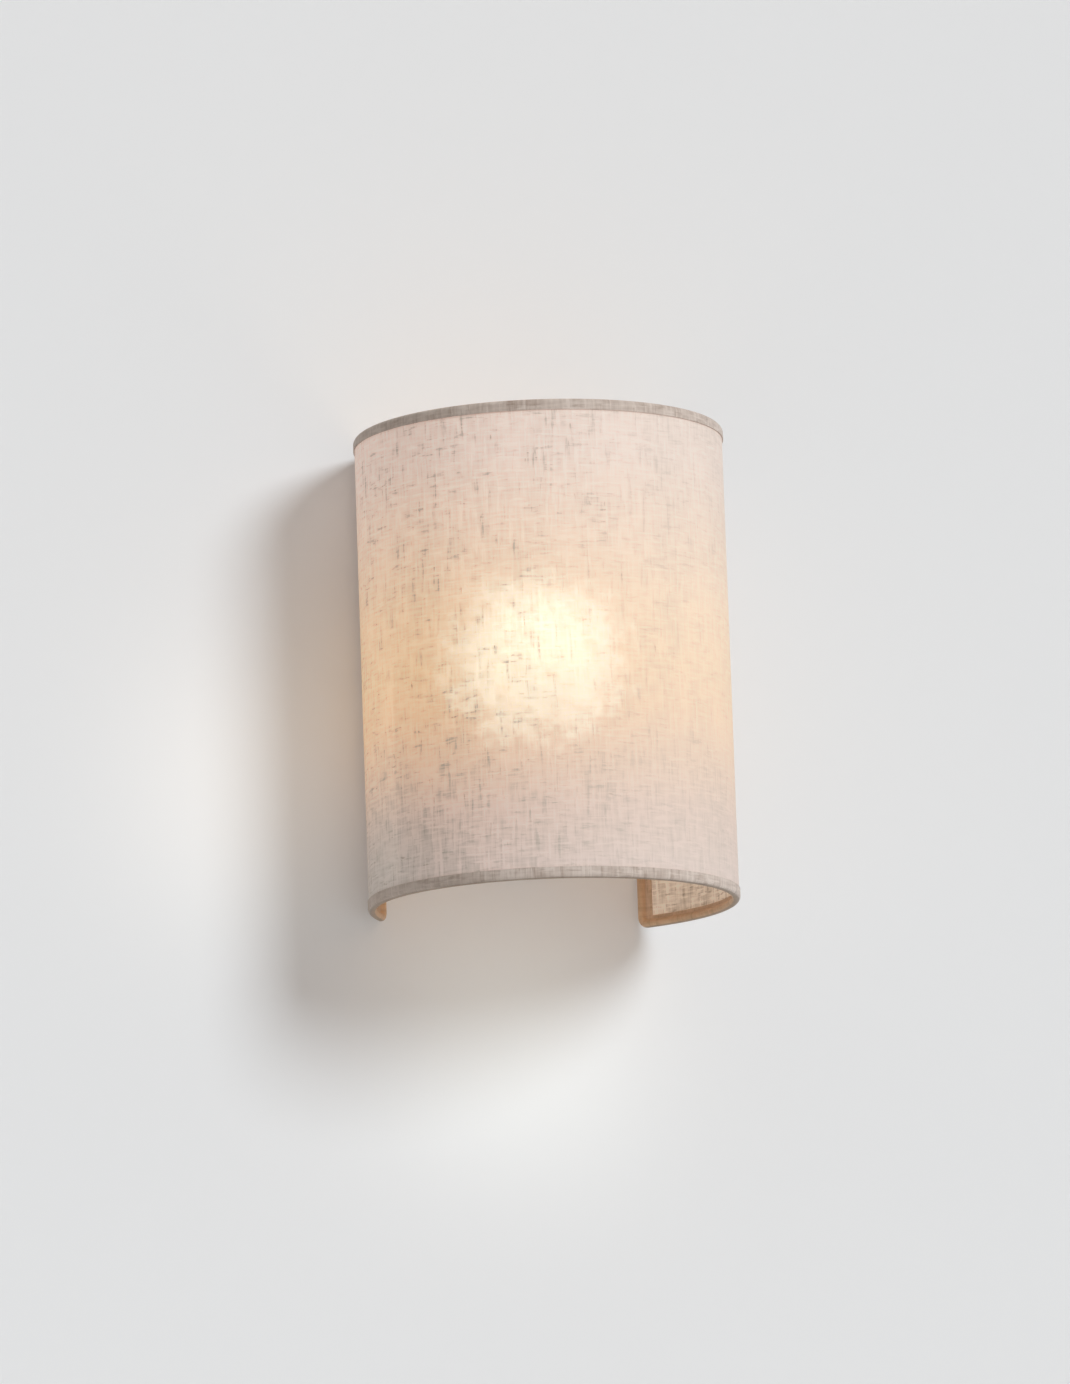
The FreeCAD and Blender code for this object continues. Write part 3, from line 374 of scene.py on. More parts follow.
@dataclass(frozen=True)
class OpalGlobe:
    """Frosted globe that glows; it is a little dimmer towards its collar and its crown.

    Attributes:
        low: level of its lower end.
        high: level of its crown.
        glow: colour at its middle.
        power: strength for rays that reach it through the cloth or by a reflection.
        spill: strength for rays that left a matt surface.
        eye: strength where the camera sees it.
    """

    low: float
    high: float
    glow: Colour = (1.0, 0.9, 0.74)
    power: float = 4.0
    spill: float = 0.6
    eye: float = 1.05

    def material(self) -> bpy.types.Material:
        """Build the material."""
        surface = Surface("opal_globe")
        where = surface.spot()
        level = (surface.split(where)[2] - self.low) / (self.high - self.low)
        cloud = surface.noise(where, (240, 240, 240), 3.0)
        shade = surface.ramp(level + (cloud - 0.5) * 0.05, [
            (0.0, (0.36, 0.24, 0.13)), (0.2, (0.72, 0.54, 0.34)),
            (0.5, self.glow), (0.85, (1.0, 0.88, 0.7)), (1.0, (0.86, 0.7, 0.48)),
        ])
        sockets = {
            "Base Color": surface.mix(cloud, (0.9, 0.88, 0.83), (0.95, 0.94, 0.9)),
            "Roughness": cloud * 0.1 + 0.35,
            "Emission Color": shade,
        }
        lit, soft, seen = (surface.principled({**sockets, "Emission Strength": strength})
                           for strength in (self.power, self.spill, self.eye))
        path = surface.node("ShaderNodeLightPath").outputs
        unseen = surface.either(path["Is Diffuse Ray"], lit, soft)
        return surface.close(surface.either(path["Is Camera Ray"], unseen, seen))


@dataclass(frozen=True)
class Streaks:
    """Yarns of one kind: stretched noise, of which only what lies above a limit shows.

    Attributes:
        stretch: cycles in a metre along and up the cloth.
        detail: finer octaves.
        shift: moves the pattern.
        low: noise at which a yarn starts to show.
        high: noise at which it shows fully.
    """

    stretch: tuple[float, float, float]
    detail: float
    shift: float
    low: float
    high: float

    def on(self, surface: Surface, where: Signal) -> Signal:
        """Where these yarns lie, from 0 to 1."""
        return surface.noise(where, self.stretch, self.detail, self.shift).step(self.low, self.high)


@dataclass(frozen=True)
class Linen:
    """Plain-weave linen: uneven yarns both ways, pale ones, thick slubs and brown knots.

    Attributes:
        pale: colour of the thinnest cloth.
        deep: colour of the densest cloth.
        knot: colour of the knots.
        knot_share: how much of that colour they take.
        sheen: weight of the fibres' sheen.
        yarn_depth: relief of the yarns, in metres.
        pale_yarns: pale yarns of the weft and of the warp.
        slubs: thick yarns of the weft and of the warp.
        dashes: short brown yarns of the weft and of the warp.
        patches: where the brown yarns gather.
    """

    pale: Colour = (0.84, 0.80, 0.745)
    deep: Colour = (0.585, 0.52, 0.435)
    knot: Colour = (0.42, 0.27, 0.15)
    knot_share: float = 0.36
    sheen: float = 0.15
    yarn_depth: float = 0.14 * MM
    pale_yarns: tuple[Streaks, Streaks] = (Streaks((80, 520, 1), 1.0, 7.7, 0.57, 0.7),
                                           Streaks((520, 50, 1), 1.0, 5.3, 0.57, 0.7))
    slubs: tuple[Streaks, Streaks] = (Streaks((95, 480, 1), 2.0, 9.4, 0.58, 0.7),
                                      Streaks((480, 48, 1), 2.0, 11.2, 0.58, 0.7))
    dashes: tuple[Streaks, Streaks] = (Streaks((150, 640, 1), 2.0, 1.9, 0.66, 0.76),
                                       Streaks((640, 105, 1), 2.0, 4.6, 0.67, 0.77))
    patches: Streaks = Streaks((60, 46, 1), 2.0, 8.8, 0.42, 0.62)

    def weave(self, surface: Surface) -> tuple[Signal, Signal, Signal]:
        """Yarns of the cloth.

        Args:
            surface: the material under construction.

        Returns:
            How dense the cloth is from 0 to 1, where its brown knots are, and the height of its yarns.
        """
        where = surface.thread_spot()
        weft = surface.noise(where, (60, 640, 1), 2.0)
        warp = surface.noise(where, (640, 45, 1), 2.0, 3.1)
        broad = surface.noise(where, (34, 12, 1), 3.0, 2.2)
        small = surface.noise(where, (170, 130, 1), 2.0)
        cloud = broad * 0.45 + small * 0.55
        light, slubs, dashes = (self.both_ways(surface, where, kinds)
                                for kinds in (self.pale_yarns, self.slubs, self.dashes))
        knots = dashes * (self.patches.on(surface, where) * 0.7 + 0.3)
        yarn = weft * 0.5 + warp * 0.5
        density = (yarn - 0.5) * 1.8 + slubs * 0.36 - light * 0.3 + (cloud - 0.5) * 1.5 + knots * 0.3 + 0.34
        height = yarn + slubs * 0.5 + light * 0.35 + knots * 0.5
        return density.clamped(), knots, height

    def both_ways(self, surface: Surface, where: Signal, kinds: tuple[Streaks, Streaks]) -> Signal:
        """Where yarns of one kind lie.

        Args:
            surface: the material under construction.
            where: place on the cloth.
            kinds: the yarns of the weft and of the warp.

        Returns:
            Both together, from 0 to 1.
        """
        weft, warp = (kind.on(surface, where) for kind in kinds)
        return (weft + warp).at_most(1.0)

    def tone(self, surface: Surface, density: Signal, knots: Signal, pale: Colour,
             deep: Colour) -> bpy.types.NodeSocket:
        """Colour of the cloth in plain light.

        Args:
            surface: the material under construction.
            density: how dense the cloth is.
            knots: where the knots are.
            pale: colour of the thinnest cloth.
            deep: colour of the densest cloth.

        Returns:
            The colour's socket.
        """
        return surface.mix(knots * self.knot_share, surface.mix(density, pale, deep), self.knot)


@dataclass(frozen=True)
class LinenCover(Linen):
    """Outside of the shade: the light of the bulb comes through between the yarns.

    Attributes:
        see_through: how much of the bulb shows through the thinnest cloth.
        scatter: how far the cloth blurs it.
        bends: index of refraction of the cloth.
        passed: colour that it gives to the light.
        lamp_at: middle of the bright spot, along and up the cloth.
        lamp_spread: half the spot's width and height, before its edge is made uneven.
        lamp_share: how much of the spot's own colour it takes.
        lamp_white: colour of the spot.
        glow: colour of the lit cloth, from the bottom of the shade to its top.
    """

    see_through: float = 0.3
    scatter: float = 0.46
    bends: float = 1.4
    passed: Colour = (1.0, 0.95, 0.86)
    lamp_at: tuple[float, float] = (-0.043, -0.010)
    lamp_spread: tuple[float, float] = (0.062, 0.056)
    lamp_share: float = 0.75
    lamp_white: Colour = (0.55, 0.47, 0.33)
    glow: tuple[tuple[float, Colour], ...] = (
        (0.0, (0.17, 0.09, 0.08)), (0.155, (0.22, 0.1, 0.06)), (0.26, (0.29, 0.13, 0.04)),
        (0.364, (0.355, 0.165, 0.03)), (0.458, (0.375, 0.19, 0.04)), (0.574, (0.38, 0.205, 0.07)),
        (0.74, (0.33, 0.19, 0.11)), (0.888, (0.28, 0.175, 0.14)), (1.0, (0.26, 0.165, 0.14)),
    )

    def material(self, half_tall: float) -> bpy.types.Material:
        """Build the material.

        Args:
            half_tall: half the height of the shade.

        Returns:
            The material, on the cloth's own map.
        """
        surface = Surface("linen_outside")
        density, knots, height = self.weave(surface)
        along, rise, _ = surface.split(surface.thread_spot())
        relief = 1.1 - along.step(-0.1, 0.05) * 0.7
        density = ((density - 0.4) * relief + 0.4).clamped()
        knots = (knots * relief).at_most(1.0)
        thin = 1.0 - (density * 0.85 + knots * 0.2).at_most(0.95)
        lamp = self.lamplight(surface, rise / (2 * half_tall) + 0.5, self.before_bulb(surface, along, rise))
        cloth = surface.principled({
            "Base Color": self.tone(surface, density, knots, self.pale, self.deep),
            "Roughness": density * 0.1 + 0.82,
            "Sheen Weight": self.sheen,
            "Emission Color": surface.mix(thin * self.painted_lamp_strength(surface, along, rise), (0.0, 0.0, 0.0), lamp),
            "Emission Strength": 1.0,
            "Normal": surface.bump(height, self.yarn_depth),
        })
        through = surface.shader("ShaderNodeBsdfRefraction",
                                 {"Color": self.passed, "Roughness": self.scatter, "IOR": self.bends})
        return surface.close(surface.either(thin * self.see_through, cloth, through))

    def before_bulb(self, surface: Surface, along: Signal, rise: Signal) -> Signal:
        """Shape of the bright spot, with an uneven edge.

        Args:
            surface: the material under construction.
            along: place along the cloth.
            rise: place up the cloth.

        Returns:
            1 in the middle of the spot, 0 away from it.
        """
        aside, above = ((place - middle) / spread
                        for place, middle, spread in zip((along, rise), self.lamp_at, self.lamp_spread))
        ripple = (surface.noise(surface.thread_spot(), (140, 140, 1), 4.0, 6.5) - 0.5) * 1.6
        return 1.0 - (aside * aside + above * above + ripple).step(0.0, 1.0)

    def painted_lamp_strength(self, surface: Surface, along: Signal, rise: Signal) -> Signal:
        """How strongly the cloth is lit from inside, with painted light that is stronger at the upper left
        and weaker at the lower left.

        Args:
            surface: the material under construction.
            along: place along the cloth.
            rise: place up the cloth.

        Returns:
            The strength, halved for light that the cloth gives to matt surfaces.
        """
        raised = rise.step(-0.12, -0.02)
        upper_left = (1.0 - along.step(-0.07, 0.05)) * raised
        lower_left = (1.0 - along.step(-0.15, -0.05)) * (1.0 - raised)
        bounced = surface.signal("ShaderNodeLightPath", output="Is Diffuse Ray")
        return (upper_left * 0.5 - lower_left * 0.95 + 1.3) * (1.0 - bounced * 0.5)

    def lamplight(self, surface: Surface, level: Signal, facing: Signal) -> bpy.types.NodeSocket:
        """Colour of the light that comes through the cloth.

        Args:
            surface: the material under construction.
            level: height on the shade from 0 to 1.
            facing: 1 where the cloth stands before the bulb, 0 away from it.

        Returns:
            The colour's socket.
        """
        return surface.mix(facing * self.lamp_share, surface.ramp(level, self.glow), self.lamp_white)


@dataclass(frozen=True)
class LinenInside(Linen):
    """Room side of the shade's liner, where the weave shows against the light.

    Attributes:
        thin_glow: light that comes through the thinnest cloth.
        dense_glow: light that comes through the densest cloth.
    """

    pale: Colour = (0.9, 0.84, 0.76)
    deep: Colour = (0.47, 0.39, 0.31)
    yarn_depth: float = 0.12 * MM
    thin_glow: Colour = (0.16, 0.1, 0.06)
    dense_glow: Colour = (0.04, 0.02, 0.01)

    def material(self) -> bpy.types.Material:
        """Build the material: it is clear from behind and for light, so that the bulb reaches the cover."""
        surface = Surface("linen_inside")
        density, knots, height = self.weave(surface)
        density = ((density - 0.45) * 1.3 + 0.45).clamped()
        cloth = surface.principled({
            "Base Color": self.tone(surface, density, knots, self.pale, self.deep),
            "Roughness": density * 0.1 + 0.75,
            "Emission Color": surface.mix(density, self.thin_glow, self.dense_glow),
            "Emission Strength": 1.0,
            "Normal": surface.bump(height, self.yarn_depth),
        })
        path = surface.node("ShaderNodeLightPath").outputs
        passing = surface.signal("ShaderNodeNewGeometry", output="Backfacing")
        passing = passing.at_least(path["Is Shadow Ray"]).at_least(path["Is Diffuse Ray"])
        return surface.close(surface.either(passing, cloth, surface.shader("ShaderNodeBsdfTransparent")))


@dataclass(frozen=True)
class BindingTape(Linen):
    """Tape cut from the same linen; its leg inside the shade has the lamp's warm light painted into its
    colour.

    Attributes:
        lamplit: painted lamplit colour of the thinnest cloth of the inner leg.
        lamplit_deep: painted lamplit colour of its densest cloth.
        fold: colour of the painted shade in the fold under the shade and at the tape's left end.
        fold_shade_share: how much of that colour the painted shade in the fold takes.
        left_shade_share: how much of it the painted shade at the left end of the tape takes.
        fold_shade_from: height above the fold at which the painted shade is darkest.
        fold_shade_to: height above the fold at which the painted shade ends.
    """

    pale: Colour = (0.76, 0.63, 0.545)
    deep: Colour = (0.43, 0.315, 0.25)
    yarn_depth: float = 0.22 * MM
    lamplit: Colour = (0.76, 0.5, 0.31)
    lamplit_deep: Colour = (0.5, 0.31, 0.18)
    fold: Colour = (0.3, 0.225, 0.17)
    fold_shade_share: float = 0.7
    left_shade_share: float = 0.35
    fold_shade_from: float = 0.2 * MM
    fold_shade_to: float = 0.8 * MM

    def material(self, form: ShadeForm) -> bpy.types.Material:
        """Build the material.

        Args:
            form: sizes of the shade.

        Returns:
            The material, on the tape's own map.
        """
        surface = Surface("binding_tape")
        density, knots, height = self.weave(surface)
        side, back, up = surface.split(surface.spot())
        back = back + form.axis_front
        reach = (side * side + back * back).root()
        outer = reach.step(form.radius - form.wire_in, form.radius - form.tape)
        low = -form.half_tall
        # Painted shade along the fold at the bottom of the tape.
        under = 1.0 - up.step(low + self.fold_shade_from, low + self.fold_shade_to)
        # Painted shade that darkens the tape towards its left end.
        left_end_shade = 1.0 - side.step(-form.radius, -0.4 * form.radius)
        wear_and_shade = self.tone(surface, density, knots, self.pale, self.deep)
        wear_and_shade = surface.mix(left_end_shade * self.left_shade_share, wear_and_shade, self.fold)
        # The inner leg's colour is painted with the lamp's warm light.
        brown = self.tone(surface, density, knots, self.lamplit, self.lamplit_deep)
        return surface.close(surface.principled({
            "Base Color": surface.mix(under * self.fold_shade_share, surface.mix(outer, brown, wear_and_shade), self.fold),
            "Roughness": density * 0.1 + 0.84,
            "Sheen Weight": self.sheen,
            "Normal": surface.bump(height, self.yarn_depth),
        }))


def clear_face() -> bpy.types.Material:
    """Face between two glued layers, which nothing sees."""
    surface = Surface("glued_face")
    return surface.close(surface.shader("ShaderNodeBsdfTransparent"))


# ------------------------------------------------------------------ modelling by hand


class Bench:
    """One piece on the workbench: operators act on it in edit mode."""

    def __init__(self, name: str, add: Callable[..., object], **start: object) -> None:
        """Add a primitive and open it in edit mode.

        Args:
            name: the piece's name.
            add: the operator that adds the primitive.
            start: size and place of the primitive.
        """
        if bpy.context.object and bpy.context.object.mode != "OBJECT":
            bpy.ops.object.mode_set(mode="OBJECT")
        bpy.ops.object.select_all(action="DESELECT")
        add(**start)
        self.piece = bpy.context.active_object
        self.piece.name = name
        self.piece.data.name = name
        bpy.ops.object.transform_apply(location=True, rotation=True, scale=True)
        bpy.ops.object.mode_set(mode="EDIT")

    def pick(self, wanted: Callable[[Vector], bool], mode: str = "VERT") -> None:
        """Select vertices by their place, with the edges and faces between them.

        Args:
            wanted: test of a vertex's place.
            mode: VERT, EDGE or FACE, what the selection is made of.
        """
        bpy.ops.mesh.select_mode(type="VERT")
        bpy.ops.mesh.select_all(action="DESELECT")
        shape = bmesh.from_edit_mesh(self.piece.data)
        for vertex in shape.verts:
            vertex.select = wanted(vertex.co)
        shape.select_flush_mode()
        bmesh.update_edit_mesh(self.piece.data)
        if mode != "VERT":
            bpy.ops.mesh.select_mode(type=mode)

    def stretch(self, by: Sequence[float]) -> None:
        """Extrude what is selected along a vector."""
        bpy.ops.mesh.extrude_region_move(TRANSFORM_OT_translate={"value": tuple(by)})

    def turn(self, steps: int, angle: float, centre: Sequence[float], axis: Sequence[float]) -> None:
        """Spin what is selected about an axis; a right-handed turn is positive."""
        bpy.ops.mesh.spin(steps=steps, angle=-angle, center=tuple(centre), axis=tuple(axis))

    def cut(self, point: Sequence[float], normal: Sequence[float]) -> None:
        """Cut every face along a plane and keep both sides."""
        bpy.ops.mesh.select_all(action="SELECT")
        bpy.ops.mesh.bisect(plane_co=tuple(point), plane_no=tuple(normal))

    def close(self, outward: Callable[[Vector], Vector] | None = None) -> bpy.types.Object:
        """Merge doubles, point the faces outwards and leave edit mode.

        Args:
            outward: for an open sheet, the direction that its face has at a place.

        Returns:
            The piece.
        """
        bpy.ops.mesh.select_all(action="SELECT")
        bpy.ops.mesh.remove_doubles(threshold=HAIR)
        bpy.ops.mesh.normals_make_consistent(inside=False)
        if outward is not None:
            shape = bmesh.from_edit_mesh(self.piece.data)
            leaning = sum(face.normal.dot(outward(face.calc_center_median())) * face.calc_area()
                          for face in shape.faces)
            if leaning < 0:
                bpy.ops.mesh.flip_normals()
        bpy.ops.object.mode_set(mode="OBJECT")
        return self.piece


def upright_sheet(name: str, wide: float, tall: float) -> Bench:
    """Start a piece as a flat sheet in the plane y = 0, about the origin.

    Args:
        name: the piece's name.
        wide: its size along X.
        tall: its size along Z.

    Returns:
        The open bench.
    """
    bench = Bench(name, bpy.ops.mesh.primitive_plane_add, size=1.0)
    bpy.ops.transform.resize(value=(wide, tall, 1.0))
    bpy.ops.transform.rotate(value=math.pi / 2, orient_axis="X", center_override=(0.0, 0.0, 0.0))
    return bench


def take(*pieces: bpy.types.Object) -> None:
    """Select these pieces and nothing else; the first one becomes the active one."""
    bpy.ops.object.select_all(action="DESELECT")
    for piece in pieces:
        piece.select_set(True)
    bpy.context.view_layer.objects.active = pieces[0]


def settle(piece: bpy.types.Object, placing: Matrix) -> None:
    """Put the selected piece in its place, and the place in its mesh."""
    piece.matrix_world = placing
    bpy.ops.object.transform_apply(location=True, rotation=True, scale=True)


def finish_with(piece: bpy.types.Object, kind: str, **settings: object) -> None:
    """Add a modifier to a piece and apply it.

    Args:
        piece: the piece.
        kind: Blender's type of the modifier.
        settings: its properties.
    """
    take(piece)
    modifier = piece.modifiers.new(kind.lower(), kind)
    for key, setting in settings.items():
        setattr(modifier, key, setting)
    bpy.ops.object.modifier_apply(modifier=modifier.name)


def smooth(piece: bpy.types.Object, degrees: float = 40.0) -> None:
    """Shade a piece smooth, but for edges sharper than an angle."""
    take(piece)
    bpy.ops.object.shade_smooth_by_angle(angle=math.radians(degrees))


def lay_map(piece: bpy.types.Object, place: Callable[[Vector], tuple[float, float]]) -> None:
    """Give a sheet its cloth map in metres.

    Args:
        piece: the sheet, before it gets its thickness.
        place: the place on the flat cloth of a point of the sheet.
    """
    layer = piece.data.uv_layers.new(name=CLOTH_MAP)
    for loop in piece.data.loops:
        layer.data[loop.index].uv = place(piece.data.vertices[loop.vertex_index].co)


# ------------------------------------------------------------------ the shade


@dataclass
class ShadeForm:
    """Sizes of the shade, in metres.

    Attributes:
        radius: outside of the binding tapes.
        axis_front: from the wall to the shade's upright axis.
        half_sweep: half the angle that the round part takes up.
        half_tall: half the height.
        roll: radius of the fold of a binding tape.
        tape: thickness of the tape.
        strip: flat strip of cloth at each rear edge.
        bend: rounding of the rear corners.
        wrap: radius of the tape round the wire, inside the shade.
        wire_in: depth of that round stretch's middle from the outside.
        lining_in: depth of the tape's inner leg from the outside.
    """

    radius: float = 100 * MM
    axis_front: float = 66.8 * MM
    half_sweep: float = math.radians(126)
    half_tall: float = 129 * MM
    roll: float = 2.35 * MM
    tape: float = 0.5 * MM
    strip: float = 6.15 * MM
    bend: float = 3.5 * MM
    wrap: float = 1.6 * MM
    wire_in: float = 2.85 * MM
    lining_in: float = 1.85 * MM

    def axis(self, level: float = 0.0) -> Vector:
        """A point of the shade's upright axis."""
        return Vector((0.0, -self.axis_front, level))

    def outward(self, at: Vector) -> Vector:
        """Direction away from the axis at a point."""
        ray = at - self.axis(at.z)
        return ray.normalized()

    def around(self, at: Vector, radius: float) -> float:
        """Length along the cloth from the front of the shade to a point.

        Args:
            at: the point.
            radius: the layer's radius.

        Returns:
            The length, positive to the right.
        """
        ray = at - self.axis(at.z)
        angle = math.atan2(ray.x, -ray.y)
        if abs(angle) <= self.half_sweep:
            return angle * radius
        side = math.copysign(1.0, angle)
        start = Vector((math.sin(self.half_sweep) * side, -math.cos(self.half_sweep), 0.0)) * radius
        along = Vector((side * math.cos(self.half_sweep), math.sin(self.half_sweep), 0.0))
        return side * (self.half_sweep * radius + (ray - start).dot(along))


@dataclass
class ShadeCloth:
    """The linen cover and the liner that it is laminated to."""

    form: ShadeForm
    cover_mid: float = 99.15 * MM
    cover_thick: float = 0.46 * MM
    liner_mid: float = 98.7 * MM
    liner_thick: float = 0.36 * MM
    steps: int = 120
    corner_steps: int = 5

    def layer(self, name: str, radius: float, thick: float) -> bpy.types.Object:
        """Model one layer: a strip at the wall, spun round to the other strip.

        Args:
            name: the piece's name.
            radius: of the middle of the layer.
            thick: its thickness.

        Returns:
            The piece, with its cloth map.
        """
        form = self.form
        high = form.half_tall - form.roll
        sweep = form.half_sweep
        left_end = form.axis() + Vector((-math.sin(sweep), -math.cos(sweep), 0.0)) * radius
        along = Vector((-math.cos(sweep), math.sin(sweep), 0.0))
        bench = upright_sheet(name, form.strip, 2 * high)
        bpy.ops.object.mode_set(mode="OBJECT")
        heading = math.atan2(along.y, along.x)
        middle = left_end + along * (form.strip / 2)
        settle(bench.piece, Matrix.Translation(middle) @ Matrix.Rotation(heading, 4, "Z"))
        bpy.ops.object.mode_set(mode="EDIT")
        bench.pick(lambda at: (at.xy - left_end.xy).length < CLOSE_BY, "EDGE")
        bench.turn(self.steps, 2 * sweep, form.axis(), (0, 0, 1))
        bench.stretch((-along.x * form.strip, along.y * form.strip, 0.0))
        rear = max(vertex.co.y for vertex in bmesh.from_edit_mesh(bench.piece.data).verts)
        bench.pick(lambda at: abs(at.y - rear) < CLOSE_BY and abs(abs(at.z) - high) < CLOSE_BY)
        bpy.ops.mesh.bevel(offset=form.bend, segments=self.corner_steps, affect="VERTICES")
        piece = bench.close(form.outward)
        lay_map(piece, lambda at: (form.around(at, radius), at.z))
        finish_with(piece, "SOLIDIFY", thickness=thick, offset=0.0)
        smooth(piece, 50.0)
        return piece

    def build(self) -> list[bpy.types.Object]:
        """Model and dress both layers.

        Returns:
            The cover and the liner.
        """
        form = self.form
        cover = self.layer("linen_shade_cover", self.cover_mid, self.cover_thick)
        liner = self.layer("shade_lining", self.liner_mid, self.liner_thick)
        cover.data.materials.append(LinenCover().material(form.half_tall))
        liner.data.materials.append(clear_face())
        liner.data.materials.append(LinenInside().material())
        for face in liner.data.polygons:
            if face.normal.dot(form.outward(face.center)) < 0:
                face.material_index = 1
        for piece, node, slot, radius in ((cover, "linen_cover", "linen", self.cover_mid),
                                          (liner, "shade_liner", "liner_sheet", self.liner_mid)):
            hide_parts(node)
            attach(piece, "shade")
            around = 2 * form.half_sweep * radius + 2 * form.strip
        return [cover, liner]


@dataclass
class Bindings:
    """The tapes that are rolled over the frame wires: top, bottom and both rear edges.

    Attributes:
        form: sizes of the shade.
        band: outer leg of the top and bottom tapes, from the fold.
        tuck: their inner leg, from the fold.
        edge_tuck: inner leg of the rear tapes before it meets its flat leg.
        edge_band: outer leg of the rear tapes.
        edge_wide: width that a rear tape is cut to.
        steps: steps of the round part.
        corner_steps: steps of the roll round a rear corner.
        leg_steps: steps of a flat leg's rounded corner.
        slit: levels between which the rear tapes are slit for the hanger bar.
    """

    form: ShadeForm
    band: float = 6.0 * MM
    tuck: float = 6.6 * MM
    edge_tuck: float = 5.2 * MM
    edge_band: float = 8.5 * MM
    edge_wide: float = 19.8 * MM
    steps: int = 120
    corner_steps: int = 10
    leg_steps: int = 6
    slit: tuple[float, float] = (58.3 * MM, 73.3 * MM)

    def section(self, tuck: float) -> list[tuple[float, float]]:
        """Inner half of the tape's section after the roll, as depth from outside and from the fold.

        Args:
            tuck: where the tape ends on the liner.

        Returns:
            Points from the end of the roll to the end of the tape.
        """
        form = self.form
        points = []
        for degrees in (20, 40, 60):
            angle = math.radians(degrees)
            points.append((form.wire_in + form.wrap * math.cos(angle),
                           form.roll + form.wrap * math.sin(angle)))
        lean = (points[-1][0] - form.lining_in) * math.tan(math.radians(30))
        points.append((form.lining_in, points[-1][1] + lean))
        points.append((form.lining_in, tuck))
        return points

    def rolled(self, name: str, leg: float, tuck: float) -> Bench:
        """Model the section as a line: a half circle, and the two legs drawn out of its ends.

        The section stands in the plane x = 0, Y inwards from the outside of the shade
        and Z down from the fold at z = 0.

        Args:
            name: the piece's name.
            leg: length of the outer leg from the fold, or 0 for none.
            tuck: end of the inner leg.

        Returns:
            The open bench with the last point picked.
        """
        form = self.form
        mid = form.roll - form.tape / 2
        bench = Bench(name, bpy.ops.mesh.primitive_circle_add, vertices=32, radius=mid,
                      location=(0.0, form.roll, -form.roll), rotation=(0.0, math.pi / 2, 0.0))
        bench.pick(lambda at: at.z < -form.roll - HAIR)
        bpy.ops.mesh.delete(type="VERT")
        last = Vector((0.0, form.tape / 2, -form.roll))
        if leg:
            bench.pick(lambda at: (at - last).length < CLOSE_BY)
            bench.stretch((0.0, 0.0, form.roll - leg))
        last = Vector((0.0, form.roll + mid, -form.roll))
        for depth, drop in self.section(tuck):
            bench.pick(lambda at: (at - last).length < CLOSE_BY)
            target = Vector((0.0, depth, -drop))
            bench.stretch(target - last)
            last = target
        return bench

    def level(self, name: str, top: bool) -> bpy.types.Object:
        """Model the top or bottom tape.

        Args:
            name: the piece's name.
            top: whether it is the top one.

        Returns:
            The piece.
        """
        form = self.form
        bench = self.rolled(name, self.band, self.tuck)
        bpy.ops.object.mode_set(mode="OBJECT")
        flip = Matrix.Identity(4) if top else Matrix.Scale(-1, 4, (0, 0, 1))
        rise = form.half_tall if top else -form.half_tall
        place = Matrix.Translation((0.0, -form.radius, rise)) @ flip
        turn = Matrix.Rotation(-form.half_sweep, 4, "Z")
        settle(bench.piece, Matrix.Translation(form.axis()) @ turn @ place)
        bpy.ops.object.mode_set(mode="EDIT")
        bpy.ops.mesh.select_all(action="SELECT")
        bench.turn(self.steps, 2 * form.half_sweep, form.axis(), (0, 0, 1))
        middle = form.radius - form.roll

        def outward(at: Vector) -> Vector:
            """Direction away from the wire at a point."""
            core = form.axis(rise - math.copysign(form.roll, rise)) + form.outward(at) * middle
            return at - core

        piece = bench.close(outward)
        lay_map(piece, lambda at: (form.around(at, form.radius), at.z + (at - form.axis(at.z)).length))
        finish_with(piece, "SOLIDIFY", thickness=form.tape, offset=0.0)
        smooth(piece)
        return piece

    def rear(self, name: str) -> bpy.types.Object:
        """Model the right rear tape: the roll runs round both corners, with a flat leg on each side.

        Args:
            name: the piece's name.

        Returns:
            The piece.
        """
        form = self.form
        high = form.half_tall - form.roll
        bench = self.rolled(name, 0.0, self.edge_tuck)
        bpy.ops.mesh.select_all(action="SELECT")
        bpy.ops.transform.translate(value=(0.0, 0.0, form.half_tall))
        run = form.strip - form.bend
        bench.stretch((run, 0.0, 0.0))
        bench.turn(self.corner_steps, math.pi / 2, (run, 0.0, high - form.bend), (0, 1, 0))
        bench.stretch((0.0, 0.0, -2 * (high - form.bend)))
        bench.turn(self.corner_steps, math.pi / 2, (run, 0.0, -high + form.bend), (0, 1, 0))
        bench.stretch((-run, 0.0, 0.0))
        for level in self.slit:
            bench.cut((0.0, 0.0, level), (0, 0, 1))
        slit_edge = form.strip - form.tape
        bench.cut((slit_edge, 0.0, 0.0), (1, 0, 0))
        low_slit, high_slit = self.slit
        bench.pick(lambda at: low_slit - HAIR < at.z < high_slit + HAIR and at.x > slit_edge - HAIR)
        bpy.ops.mesh.delete(type="FACE")

        def outward(at: Vector) -> Vector:
            """Direction away from the wire at a point."""
            return Vector((at.x - run, at.y - form.roll, at.z if abs(at.z) > high else 0.0))

        piece = bench.close(outward)
        legs = [self.leg(name + "_outer_leg", form.tape / 2, form.roll, -1.0),
                self.leg(name + "_inner_leg", form.lining_in, self.edge_tuck, 1.0)]
        take(piece, *legs)
        bpy.ops.object.join()
        lay_map(piece, lambda at: (at.z, at.x - at.y))
        finish_with(piece, "SOLIDIFY", thickness=form.tape, offset=0.0)
        smooth(piece)
        end = form.axis() + Vector((math.sin(form.half_sweep), -math.cos(form.half_sweep), 0.0)) * form.radius
        settle(piece, Matrix.Translation(end) @ Matrix.Rotation(form.half_sweep, 4, "Z"))
        return piece

